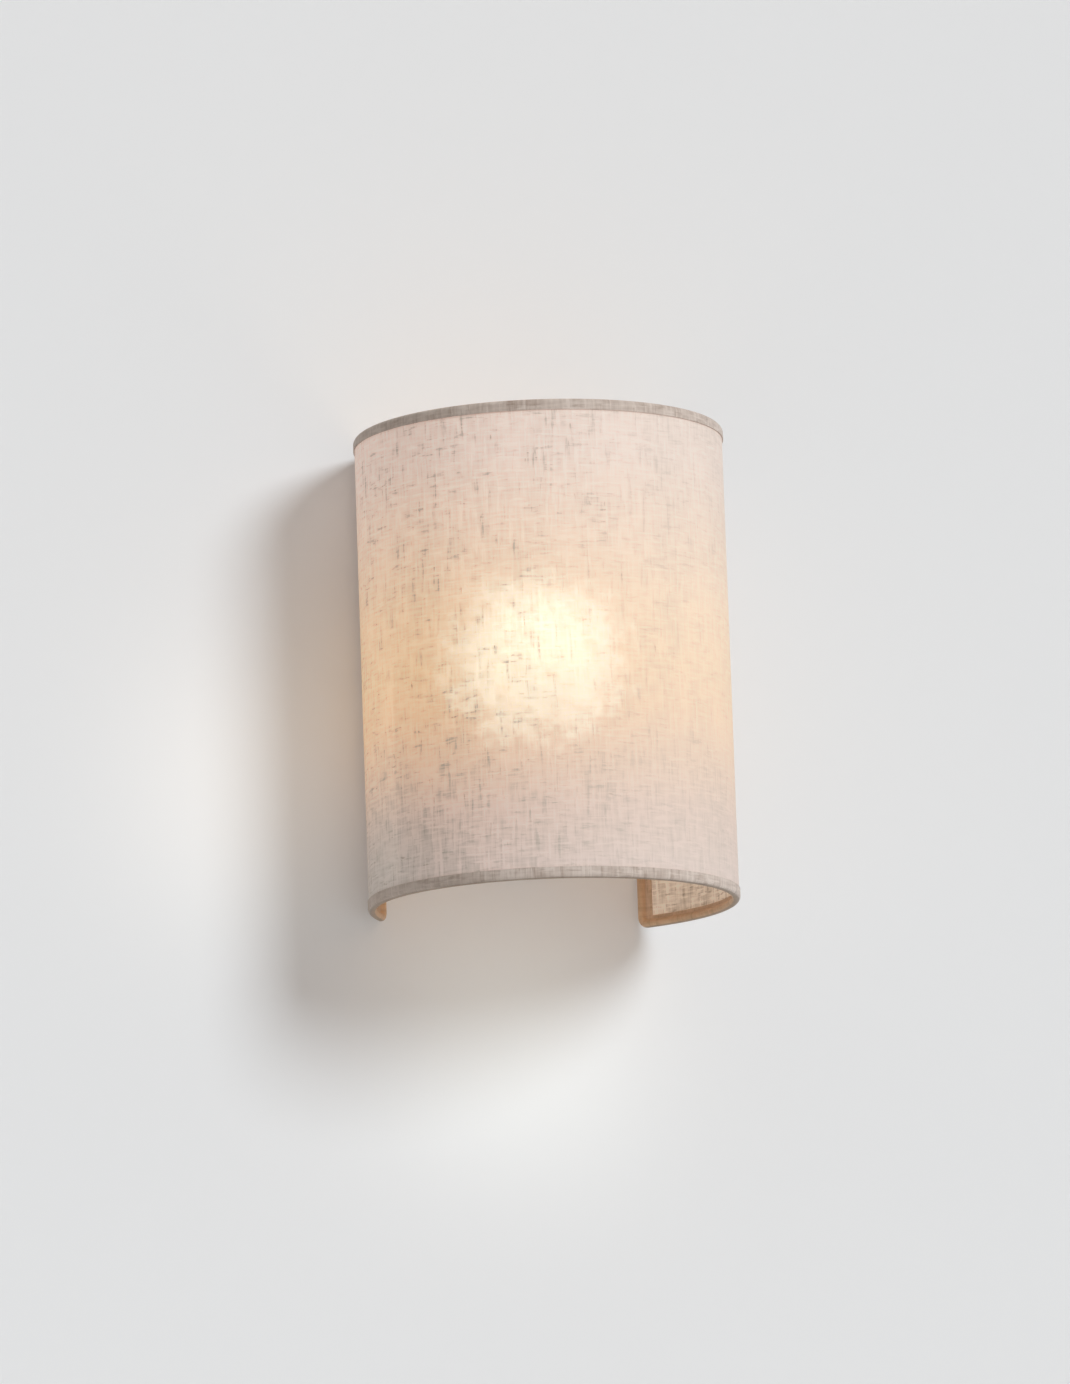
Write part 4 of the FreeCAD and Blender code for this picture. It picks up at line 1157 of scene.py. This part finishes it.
    def leg(self, name: str, depth: float, inset: float, facing: float) -> bpy.types.Object:
        """Model a flat leg with two rounded outer corners.

        Args:
            name: its name before it joins the tape.
            depth: from the outside of the shade.
            inset: from the fold.
            facing: -1 where its face looks out of the shade, 1 where it looks in.

        Returns:
            The leg.
        """
        form = self.form
        wide = self.edge_band - inset
        tall = 2 * (form.half_tall - inset)
        bench = upright_sheet(name, wide, tall)
        bpy.ops.transform.translate(value=(wide / 2, depth, 0.0))
        bench.pick(lambda at: at.x > wide - HAIR)
        bpy.ops.mesh.bevel(offset=form.bend + form.roll - inset, segments=self.leg_steps, affect="VERTICES")
        return bench.close(lambda at: Vector((0.0, facing, 0.0)))

    def build(self) -> list[bpy.types.Object]:
        """Returns:
            The tapes.
        """
        form = self.form
        top = self.level("top_binding", True)
        low = self.level("bottom_binding", False)
        right = self.rear("right_rear_binding")
        left = mirrored_copy(right, "left_rear_binding")
        finish = BindingTape().material(form)
        around = 2 * form.half_sweep * (form.radius - form.roll)
        level_flat = (self.length_of(self.section(self.tuck)) + self.band - form.roll, around)
        edge_flat = (self.edge_wide, 2 * form.half_tall)
        for piece, node, flat, wire in (
                (top, "top_hem", level_flat, "top_ring"),
                (low, "bottom_hem", level_flat, "bottom_ring"),
                (right, "right_edge_hem", edge_flat, "right_upright"),
                (left, "left_edge_hem", edge_flat, "left_upright")):
            piece.data.materials.append(finish)
            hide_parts(node)
            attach(piece, "shade")
        return [top, low, right, left]

    def length_of(self, points: Sequence[tuple[float, float]]) -> float:
        """Width of tape from the start of the roll to the end of the inner leg."""
        form = self.form
        mid = form.roll - form.tape / 2
        chain = [(form.roll + mid, form.roll), *points]
        return math.pi * mid + sum(math.dist(a, b) for a, b in zip(chain, chain[1:]))


def mirrored_copy(source: bpy.types.Object, name: str) -> bpy.types.Object:
    """A copy with its own mesh for the other side of the light.

    Args:
        source: the piece on the right.
        name: the copy's name.

    Returns:
        The piece on the left.
    """
    take(source)
    bpy.ops.object.duplicate(linked=False)
    piece = bpy.context.active_object
    piece.name = name
    piece.data.name = name
    piece.scale.x = -1.0
    bpy.ops.object.transform_apply(location=True, rotation=True, scale=True)
    bpy.ops.object.mode_set(mode="EDIT")
    bpy.ops.mesh.select_all(action="SELECT")
    bpy.ops.mesh.normals_make_consistent(inside=False)
    bpy.ops.object.mode_set(mode="OBJECT")
    return piece


# ------------------------------------------------------------------ wall unit and bulb


def arc(middle: float, radius: float, start: float, end: float, count: int,
        out: float = 0.0) -> list[tuple[float, float]]:
    """Points of a round stretch of a turned section.

    Args:
        middle: level of the arc's centre.
        radius: of the arc.
        start: first angle above the level, in degrees.
        end: last angle.
        count: steps between them.
        out: distance of the arc's centre from the axis.

    Returns:
        Distance from the axis and level of each point.
    """
    angles = [math.radians(start + (end - start) * step / count) for step in range(count + 1)]
    return [(out + radius * math.cos(angle), middle + radius * math.sin(angle)) for angle in angles]


@dataclass
class Bulb:
    """The bulb and the turned pieces of the lampholder beside it, in metres; levels are heights.

    Attributes:
        axis_front: from the wall to the bulb's axis.
        steps: steps of a full turn.
        globe: outer radius of the globe.
        globe_wall: its thickness.
        globe_mid: level of its middle.
        seam: level where globe and body meet.
        cap_top: level where body and screw cap meet, and of the holder's mouth.
        cap_low: level of the cap's lower end.
        cap_tip: radius of the flat lower end.
        cap_taper: height of the taper above it.
        rim_proud: how far the cap's rim stands out.
        rim_tall: height of the rim.
        rim_rise: from the top of the rim to the foot of its slope.
        foot: radius of the body above the cap.
        neck: height of its straight neck.
        neck_pull: height above the cap of the guide point that holds the flare to the neck.
        flare_out: how far outside the neck the flare's next guide point lies.
        flare_drop: how far below the seam that point lies.
        flare_steps: steps of the flare.
        thread: middle radius of the cap's thread.
        depth: from the thread's root to its crest.
        pitch: climb of the thread in one turn.
        thread_top: level where the thread runs out at the top.
        thread_low: level where it runs out at the bottom.
        sleeve: outer radius of the holder.
        sleeve_wall: its thickness.
        mouth: radius of its opening.
        shoulder_round: outer rounding of the mouth.
        mouth_round: inner rounding of the mouth.
        joint: level where the holder's halves meet.
        joint_bevel: bevel of the collar there.
        shell_floor: level of the thread shell's floor.
        shell_rim: level of its rim.
        shell_hole: radius of the hole in its floor.
        shell_in: middle inner radius of the shell.
        shell_thick: its thickness.
    """

    axis_front: float = 62 * MM
    steps: int = 72
    globe: float = 30 * MM
    globe_wall: float = 1.4 * MM
    globe_mid: float = 10 * MM
    seam: float = -7 * MM
    cap_top: float = -39 * MM
    cap_low: float = -60.2 * MM
    cap_tip: float = 10 * MM
    cap_taper: float = 2.2 * MM
    rim_proud: float = 0.35 * MM
    rim_tall: float = 1.0 * MM
    rim_rise: float = 1.2 * MM
    foot: float = 13.5 * MM
    neck: float = 3 * MM
    neck_pull: float = 12 * MM
    flare_out: float = 4 * MM
    flare_drop: float = 10 * MM
    flare_steps: int = 20
    thread: float = 12.75 * MM
    depth: float = 0.7 * MM
    pitch: float = 3.63 * MM
    thread_top: float = -43 * MM
    thread_low: float = -57 * MM
    sleeve: float = 19.5 * MM
    sleeve_wall: float = 2.0 * MM
    mouth: float = 14.2 * MM
    shoulder_round: float = 2 * MM
    mouth_round: float = 0.8 * MM
    joint: float = -64 * MM
    joint_bevel: float = 0.4 * MM
    shell_floor: float = -68 * MM
    shell_rim: float = -42.3 * MM
    shell_hole: float = 7 * MM
    shell_in: float = 13.6 * MM
    shell_thick: float = 0.35 * MM

    def turned(self, name: str, section: Sequence[tuple[float, float]], closed: bool = False) -> Bench:
        """Model a turned piece: a line drawn out point by point, and spun round the bulb's axis.

        Args:
            name: the piece's name.
            section: distance from the axis and level of each point.
            closed: whether the line returns to its start.

        Returns:
            The open bench.
        """
        bench = Bench(name, bpy.ops.mesh.primitive_plane_add, size=2 * MM)
        bench.pick(lambda at: at.x > 0 or at.y > 0)
        bpy.ops.mesh.delete(type="VERT")
        bpy.ops.mesh.select_all(action="SELECT")
        points = [Vector((radius, -self.axis_front, level)) for radius, level in section]
        last = Vector((-MM, -MM, 0.0))
        bpy.ops.transform.translate(value=points[0] - last)
        last = points[0]
        for point in points[1:] + points[:1] * closed:
            bench.stretch(point - last)
            last = point
        bpy.ops.mesh.select_all(action="SELECT")
        bench.turn(self.steps, 2 * math.pi, (0.0, -self.axis_front, 0.0), (0, 0, 1))
        return bench

    def wind(self, piece: bpy.types.Object) -> None:
        """Press the round thread into the wall of a turned piece.

        Args:
            piece: the piece, with close rings between the thread's ends.
        """
        run_out = self.pitch / 2
        for vertex in piece.data.vertices:
            across = Vector((vertex.co.x, vertex.co.y + self.axis_front))
            share = min(vertex.co.z - self.thread_low, self.thread_top - vertex.co.z) / run_out
            if share <= 0 or across.length < self.thread - self.depth:
                continue
            turns = vertex.co.z / self.pitch - math.atan2(across.y, across.x) / (2 * math.pi)
            wave = self.depth / 2 * math.cos(2 * math.pi * turns) * min(share, 1.0)
            across *= 1.0 + wave / across.length
            vertex.co.x = across.x
            vertex.co.y = across.y - self.axis_front

    def wall(self, radius: float, low: float, high: float) -> list[tuple[float, float]]:
        """Close points up a wall that takes the thread."""
        count = round(abs(high - low) / (self.pitch / 8))
        return [(radius, low + (high - low) * step / count) for step in range(count + 1)]

    def opal(self) -> bpy.types.Object:
        """The hollow globe, open at its seam."""
        tilt = math.degrees(math.asin((self.seam - self.globe_mid) / self.globe))
        bench = self.turned("opal_bulb_globe", arc(self.globe_mid, self.globe, tilt, 90.0, 40))
        piece = bench.close(lambda at: at - Vector((0.0, -self.axis_front, self.globe_mid)))
        finish_with(piece, "SOLIDIFY", thickness=self.globe_wall, offset=-1.0)
        return piece

    def housing(self) -> bpy.types.Object:
        """The plastic body, which flares in one sweep from the cap to the globe."""
        rim = math.sqrt(self.globe ** 2 - (self.seam - self.globe_mid) ** 2)
        guides = ((self.foot, self.cap_top + self.neck), (self.foot, self.cap_top + self.neck_pull),
                  (self.foot + self.flare_out, self.seam - self.flare_drop), (rim, self.seam))
        flare = []
        for step in range(self.flare_steps + 1):
            share = step / self.flare_steps
            rest = 1 - share
            weights = (rest ** 3, 3 * share * rest ** 2, 3 * share ** 2 * rest, share ** 3)
            flare.append(tuple(sum(weight * guide[axis] for weight, guide in zip(weights, guides))
                               for axis in (0, 1)))
        return self.turned("plastic_bulb_body", [(0.0, self.cap_top), (self.foot, self.cap_top), *flare,
                                                 (0.0, self.seam)]).close()

    def cap(self) -> bpy.types.Object:
        """The screw cap with its round thread."""
        rim = self.thread + self.rim_proud
        bench = self.turned("threaded_bulb_cap", [
            (0.0, self.cap_low), (self.cap_tip, self.cap_low), (self.thread, self.cap_low + self.cap_taper),
            *self.wall(self.thread, self.thread_low, self.thread_top),
            (self.thread, self.cap_top - self.rim_rise), (rim, self.cap_top - self.rim_tall),
            (rim, self.cap_top), (0.0, self.cap_top),
        ])
        piece = bench.close()
        self.wind(piece)
        return piece

    def shell(self) -> bpy.types.Object:
        """The brass shell of the lampholder, pressed to the same thread."""
        outer = self.shell_in + self.shell_thick
        floor = self.shell_floor
        bench = self.turned("pressed_thread_shell", [
            (self.shell_hole, floor), (outer, floor), *self.wall(outer, self.thread_low, self.thread_top),
            (outer, self.shell_rim), (self.shell_in, self.shell_rim),
            *self.wall(self.shell_in, self.thread_top, self.thread_low),
            (self.shell_in, floor + self.shell_thick), (self.shell_hole, floor + self.shell_thick),
        ], closed=True)
        piece = bench.close()
        self.wind(piece)
        return piece

    def collar(self) -> bpy.types.Object:
        """The upper half of the lampholder, with its rounded mouth."""
        bore = self.sleeve - self.sleeve_wall
        ceiling = self.cap_top - self.sleeve_wall
        bevel = self.joint_bevel
        shoulder = arc(self.cap_top - self.shoulder_round, self.shoulder_round, 0.0, 90.0, 8,
                       self.sleeve - self.shoulder_round)
        lip = arc(self.cap_top - self.mouth_round, self.mouth_round, 90.0, 180.0, 5,
                  self.mouth + self.mouth_round)
        return self.turned("holder_collar", [
            (bore, self.joint), (self.sleeve - bevel, self.joint), (self.sleeve, self.joint + bevel),
            *shoulder, *lip, (self.mouth, ceiling), (bore, ceiling),
        ], closed=True).close()

    def build(self, finishes: dict[str, bpy.types.Material]) -> list[bpy.types.Object]:
        """Model and dress the turned pieces.

        Args:
            finishes: material of each finish.

        Returns:
            The pieces.
        """
        made = []
        for make, node, body, slot in (
                (self.opal, "bulb_globe", "bulb", "opal_globe"),
                (self.housing, "bulb_body", "bulb", "bulb_plastic"),
                (self.cap, "bulb_screw_cap", "bulb", "cap_metal"),
                (self.shell, "holder_thread_shell", "wall_unit", "contact_brass"),
                (self.collar, "holder_sleeve", "wall_unit", "holder_plastic")):
            piece = make()
            smooth(piece, 35.0)
            piece.data.materials.append(finishes[slot])
            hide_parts(node)
            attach(piece, body)
            made.append(piece)
        return made


@dataclass
class Hardware:
    """Wires, bar, wall unit and bulb: the pieces that keep their constructed shape, and the turned ones.

    Attributes:
        plan: each finish, and the nodes of constructed shape that it goes on.
    """

    plan: tuple[tuple[str, tuple[str, ...]], ...] = (
        ("frame_wire", ("top_ring", "bottom_ring", "left_upright", "right_upright")),
        ("bar_steel", ("hanger_bar",)),
        ("plate_paint", ("wall_plate",)),
        ("bracket_zinc", ("lamp_bracket",)),
        ("screw_steel", ("bracket_screws", "bracket_nuts", "holder_locknut", "holder_nipple",
                         "terminal_screws", "block_fixing_screws", "earth_screw", "holder_terminal_screws")),
        ("grommet_rubber", ("cable_grommet",)),
        ("holder_plastic", ("holder_dome",)),
        ("core_ceramic", ("holder_core",)),
        ("contact_brass", ("holder_spring_contact", "terminal_tubes", "earth_ring_terminal")),
        ("cap_metal", ("bulb_contact",)),
        ("insulator_black", ("bulb_insulator",)),
        ("block_plastic", ("terminal_block",)),
        ("lead_brown", ("live_lead",)),
        ("lead_blue", ("neutral_lead",)),
        ("lead_green_yellow", ("earth_lead",)),
    )

    def materials(self) -> dict[str, bpy.types.Material]:
        """Build the finishes.

        Returns:
            Material of each finish.
        """
        hard = [
            HardFinish("frame_wire", (0.55, 0.55, 0.56), (0.35, 0.33, 0.31), 0.38, Grain.TURNED, 1.0),
            HardFinish("bar_steel", (0.80, 0.79, 0.77), (0.72, 0.71, 0.68), 0.42, Grain.PAINT, coat=0.15),
            HardFinish("plate_paint", (0.82, 0.81, 0.79), (0.74, 0.73, 0.70), 0.4, Grain.PAINT, coat=0.15),
            HardFinish("bracket_zinc", (0.62, 0.63, 0.64), (0.44, 0.45, 0.46), 0.34, Grain.ZINC, 1.0),
            HardFinish("screw_steel", (0.66, 0.66, 0.64), (0.47, 0.46, 0.43), 0.3, Grain.TURNED, 1.0),
            HardFinish("grommet_rubber", (0.025, 0.025, 0.026), (0.05, 0.049, 0.047), 0.62, Grain.CAST),
            HardFinish("holder_plastic", (0.80, 0.79, 0.76), (0.73, 0.71, 0.66), 0.36, Grain.MOULDED,
                       coat=0.1),
            HardFinish("core_ceramic", (0.85, 0.83, 0.78), (0.76, 0.73, 0.66), 0.3, Grain.CAST, coat=0.3),
            HardFinish("contact_brass", (0.80, 0.58, 0.25), (0.58, 0.40, 0.17), 0.28, Grain.TURNED, 1.0),
            HardFinish("bulb_plastic", (0.84, 0.83, 0.81), (0.78, 0.76, 0.72), 0.4, Grain.MOULDED),
            HardFinish("cap_metal", (0.72, 0.71, 0.69), (0.55, 0.53, 0.50), 0.27, Grain.TURNED, 1.0),
            HardFinish("insulator_black", (0.02, 0.02, 0.022), (0.045, 0.045, 0.048), 0.3, Grain.CAST),
            HardFinish("block_plastic", (0.78, 0.77, 0.73), (0.70, 0.68, 0.62), 0.45, Grain.MOULDED),
            HardFinish("lead_brown", (0.13, 0.06, 0.028), (0.17, 0.085, 0.045), 0.4, Grain.MOULDED),
            HardFinish("lead_blue", (0.03, 0.10, 0.42), (0.05, 0.14, 0.48), 0.4, Grain.MOULDED),
        ]
        made = {finish.name: finish.material() for finish in hard}
        low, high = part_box("bulb_globe")
        made["opal_globe"] = OpalGlobe(low.z, high.z).material()
        made["lead_green_yellow"] = StripedLead().material()
        return made

    def build(self) -> list[bpy.types.Object]:
        """Dress the nodes and build the turned pieces.

        Returns:
            The dressed objects.
        """
        finishes = self.materials()
        dressed = []
        for finish, nodes in self.plan:
            for node in nodes:
                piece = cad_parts[node]
                if not piece.material_slots:
                    piece.data.materials.append(finishes[finish])
                for held in piece.material_slots:
                    held.material = finishes[finish]
                dressed.append(piece)
        return dressed + Bulb().build(finishes)


# ------------------------------------------------------------------ studio


@dataclass(frozen=True)
class WallGlow:
    """One small lamp that stands for light of the bulb on the wall."""

    place: tuple[float, float, float]
    energy: float
    colour: Colour


@dataclass
class Studio:
    """Wall, floor, light and camera.

    Attributes:
        wall_tone: how bright wall, floor and surround look.
        wall_albedo: how much light the wall gives back.
        floor_albedo: how much light the floor gives back.
        stage_wide: side of the wall and of the floor.
        wall_behind: how far the wall stands behind the light's back.
        floor_level: level of the floor.
        floor_front: how far the floor's middle lies in front of the wall.
        gap: light bounced over less than this passes the wall, so that the plate's back isn't black.
        sky: strength of the even surround.
        sky_tint: its colour.
        sun: strength of the main light.
        sun_tint: its colour.
        sun_from: direction that it comes from.
        sun_soft: angle that it takes up.
        spill: the lamps for the light on the wall.
        spill_wide: side of such a lamp.
        spill_spread: angle of its beam.
        target: what the camera looks at.
        turn: the camera's angle to the right of the light's front.
        rise: its angle above it.
        roll: its tilt about its own line of sight.
        distance: from the target.
        shift: how far it is moved to its own right and up, in metres.
        lens: focal length, in millimetres.
        sensor: width of its sensor, in millimetres.
        far: distance at which it stops seeing.
    """

    wall_tone: float = 0.7
    wall_albedo: float = 0.8
    floor_albedo: float = 0.75
    stage_wide: float = 8.0
    wall_behind: float = 0.4 * MM
    floor_level: float = -1.2
    floor_front: float = 4.0
    gap: float = 1.0 * MM
    sky: float = 0.34
    sky_tint: Colour = (1.0, 0.965, 0.93)
    sun: float = 1.85
    sun_tint: Colour = (0.88, 0.95, 1.0)
    sun_from: tuple[float, float, float] = (0.5, -1.0, 0.48)
    sun_soft: float = math.radians(22)
    spill: tuple[WallGlow, ...] = (
        WallGlow((-0.145, -0.09, -0.06), 0.009, (1.0, 0.9, 0.76)),
        WallGlow((0.0, -0.09, -0.19), 0.011, (0.93, 1.0, 0.93)),
    )
    spill_wide: float = 0.12
    spill_spread: float = math.radians(110)
    target: tuple[float, float, float] = (0.0, -0.0405, 0.0)
    turn: float = math.radians(-21.1)
    rise: float = math.radians(-10.1)
    roll: float = math.radians(-2.0)
    distance: float = 5.605
    shift: tuple[float, float] = (0.003352, -0.006867)
    lens: float = 269.6
    sensor: float = 36.0
    far: float = 50.0

    def fill(self, albedo: float, facing: float) -> Colour:
        """Plain light that brings a lit surface up to the wall's tone.

        Args:
            albedo: how much light the surface gives back.
            facing: cosine between the surface's normal and the main light.

        Returns:
            What is missing, in red, green and blue.
        """
        lit = [albedo * (facing * self.sun * main / math.pi + self.sky * soft)
               for main, soft in zip(self.sun_tint, self.sky_tint)]
        return tuple(max(self.wall_tone - share, 0.0) for share in lit)

    def backdrop(self, name: str, albedo: float, fill: Colour) -> bpy.types.Material:
        """Pale surface that takes shadows and is seen through from behind.

        Args:
            name: the material's name.
            albedo: how much light it gives back.
            fill: plain light that it adds for the eye.

        Returns:
            The material.
        """
        surface = Surface(name)
        plain = surface.shader("ShaderNodeBsdfDiffuse", {"Color": (albedo, albedo, albedo)})
        path = surface.node("ShaderNodeLightPath").outputs
        seen = Signal(surface, path["Is Camera Ray"])
        seen = seen.at_least(path["Is Glossy Ray"]).at_least(path["Is Transmission Ray"])
        bright = surface.shader("ShaderNodeEmission", {"Color": fill, "Strength": seen})
        front = surface.shader("ShaderNodeAddShader", {0: plain, 1: bright})
        behind = surface.signal("ShaderNodeNewGeometry", output="Backfacing")
        touching = 1.0 - Signal(surface, path["Ray Length"]).step(self.gap, 2 * self.gap)
        open_to = behind.at_least(touching * path["Is Diffuse Ray"])
        return surface.close(surface.either(open_to, front, surface.shader("ShaderNodeBsdfTransparent")))

    def build(self) -> None:
        """Set the stage."""
        bpy.ops.object.select_all(action="DESELECT")
        bpy.ops.mesh.primitive_plane_add(size=self.stage_wide, location=(0.0, self.wall_behind, 0.0),
                                         rotation=(math.pi / 2, 0, 0))
        wall = bpy.context.active_object
        wall.name = "wall_backdrop"
        aim = Vector(self.sun_from).normalized()
        fill = self.fill(self.wall_albedo, -aim.y)
        wall.data.materials.append(self.backdrop("wall_backdrop", self.wall_albedo, fill))
        bpy.ops.mesh.primitive_plane_add(size=self.stage_wide,
                                         location=(0.0, -self.floor_front, self.floor_level))
        floor = bpy.context.active_object
        floor.name = "pale_floor"
        fill = self.fill(self.floor_albedo, aim.z)
        floor.data.materials.append(self.backdrop("pale_floor", self.floor_albedo, fill))
        self.lights()
        self.camera()

    def lights(self) -> None:
        """One soft main light from the upper right, the lamp's light on the wall, and an even surround."""
        bpy.ops.object.light_add(type="SUN", location=(1.0, -2.0, 1.0))
        main = bpy.context.active_object
        main.name = "main_light"
        main.data.energy = self.sun
        main.data.angle = self.sun_soft
        main.data.color = self.sun_tint
        main.rotation_euler = Vector(self.sun_from).to_track_quat("Z", "Y").to_euler()
        for glow in self.spill:
            bpy.ops.object.light_add(type="AREA", location=glow.place, rotation=(math.pi / 2, 0.0, 0.0))
            spill = bpy.context.active_object
            spill.name = "lamp_spill"
            spill.visible_camera = False
            spill.data.size = self.spill_wide
            spill.data.energy = glow.energy
            spill.data.color = glow.colour
            spill.data.spread = self.spill_spread
        world = bpy.data.worlds.new("surround")
        bpy.context.scene.world = world
        world.use_nodes = True
        tree = world.node_tree
        tree.nodes.clear()
        output = tree.nodes.new("ShaderNodeOutputWorld")
        plain = tree.nodes.new("ShaderNodeBackground")
        plain.inputs["Color"].default_value = (*self.sky_tint, 1.0)
        plain.inputs["Strength"].default_value = self.sky
        eye = tree.nodes.new("ShaderNodeBackground")
        eye.inputs["Color"].default_value = (1.0, 1.0, 1.0, 1.0)
        eye.inputs["Strength"].default_value = self.wall_tone
        path = tree.nodes.new("ShaderNodeLightPath")
        mix = tree.nodes.new("ShaderNodeMixShader")
        tree.links.new(path.outputs["Is Camera Ray"], mix.inputs[0])
        tree.links.new(plain.outputs[0], mix.inputs[1])
        tree.links.new(eye.outputs[0], mix.inputs[2])
        tree.links.new(mix.outputs[0], output.inputs[0])

    def camera(self) -> None:
        """Camera of the photograph: low, from the left, a long lens."""
        back = Vector((math.sin(self.turn) * math.cos(self.rise),
                       -math.cos(self.turn) * math.cos(self.rise), math.sin(self.rise)))
        level = Vector((math.cos(self.turn), math.sin(self.turn), 0.0))
        upward = back.cross(level)
        right = level * math.cos(self.roll) + upward * math.sin(self.roll)
        top = upward * math.cos(self.roll) - level * math.sin(self.roll)
        spot = Vector(self.target) + back * self.distance + right * self.shift[0] + top * self.shift[1]
        axes = Matrix((right, top, back)).transposed().to_4x4()
        bpy.ops.object.camera_add()
        eye = bpy.context.active_object
        eye.matrix_world = Matrix.Translation(spot) @ axes
        eye.data.lens = self.lens
        eye.data.sensor_width = self.sensor
        eye.data.clip_end = self.far
        bpy.context.scene.camera = eye
        bpy.context.scene.view_settings.view_transform = "Standard"


def main() -> None:
    """Build the studio and the light, piece by piece."""
    logging.basicConfig(level=logging.INFO, format="%(message)s")
    Studio().build()
    form = ShadeForm()
    made = ShadeCloth(form).build() + Bindings(form).build() + Hardware().build()
    for piece in made:
        log.info("%s: %d faces", piece.name, len(piece.data.polygons))
    bpy.context.view_layer.update()


if __name__ == "__main__":
    main()
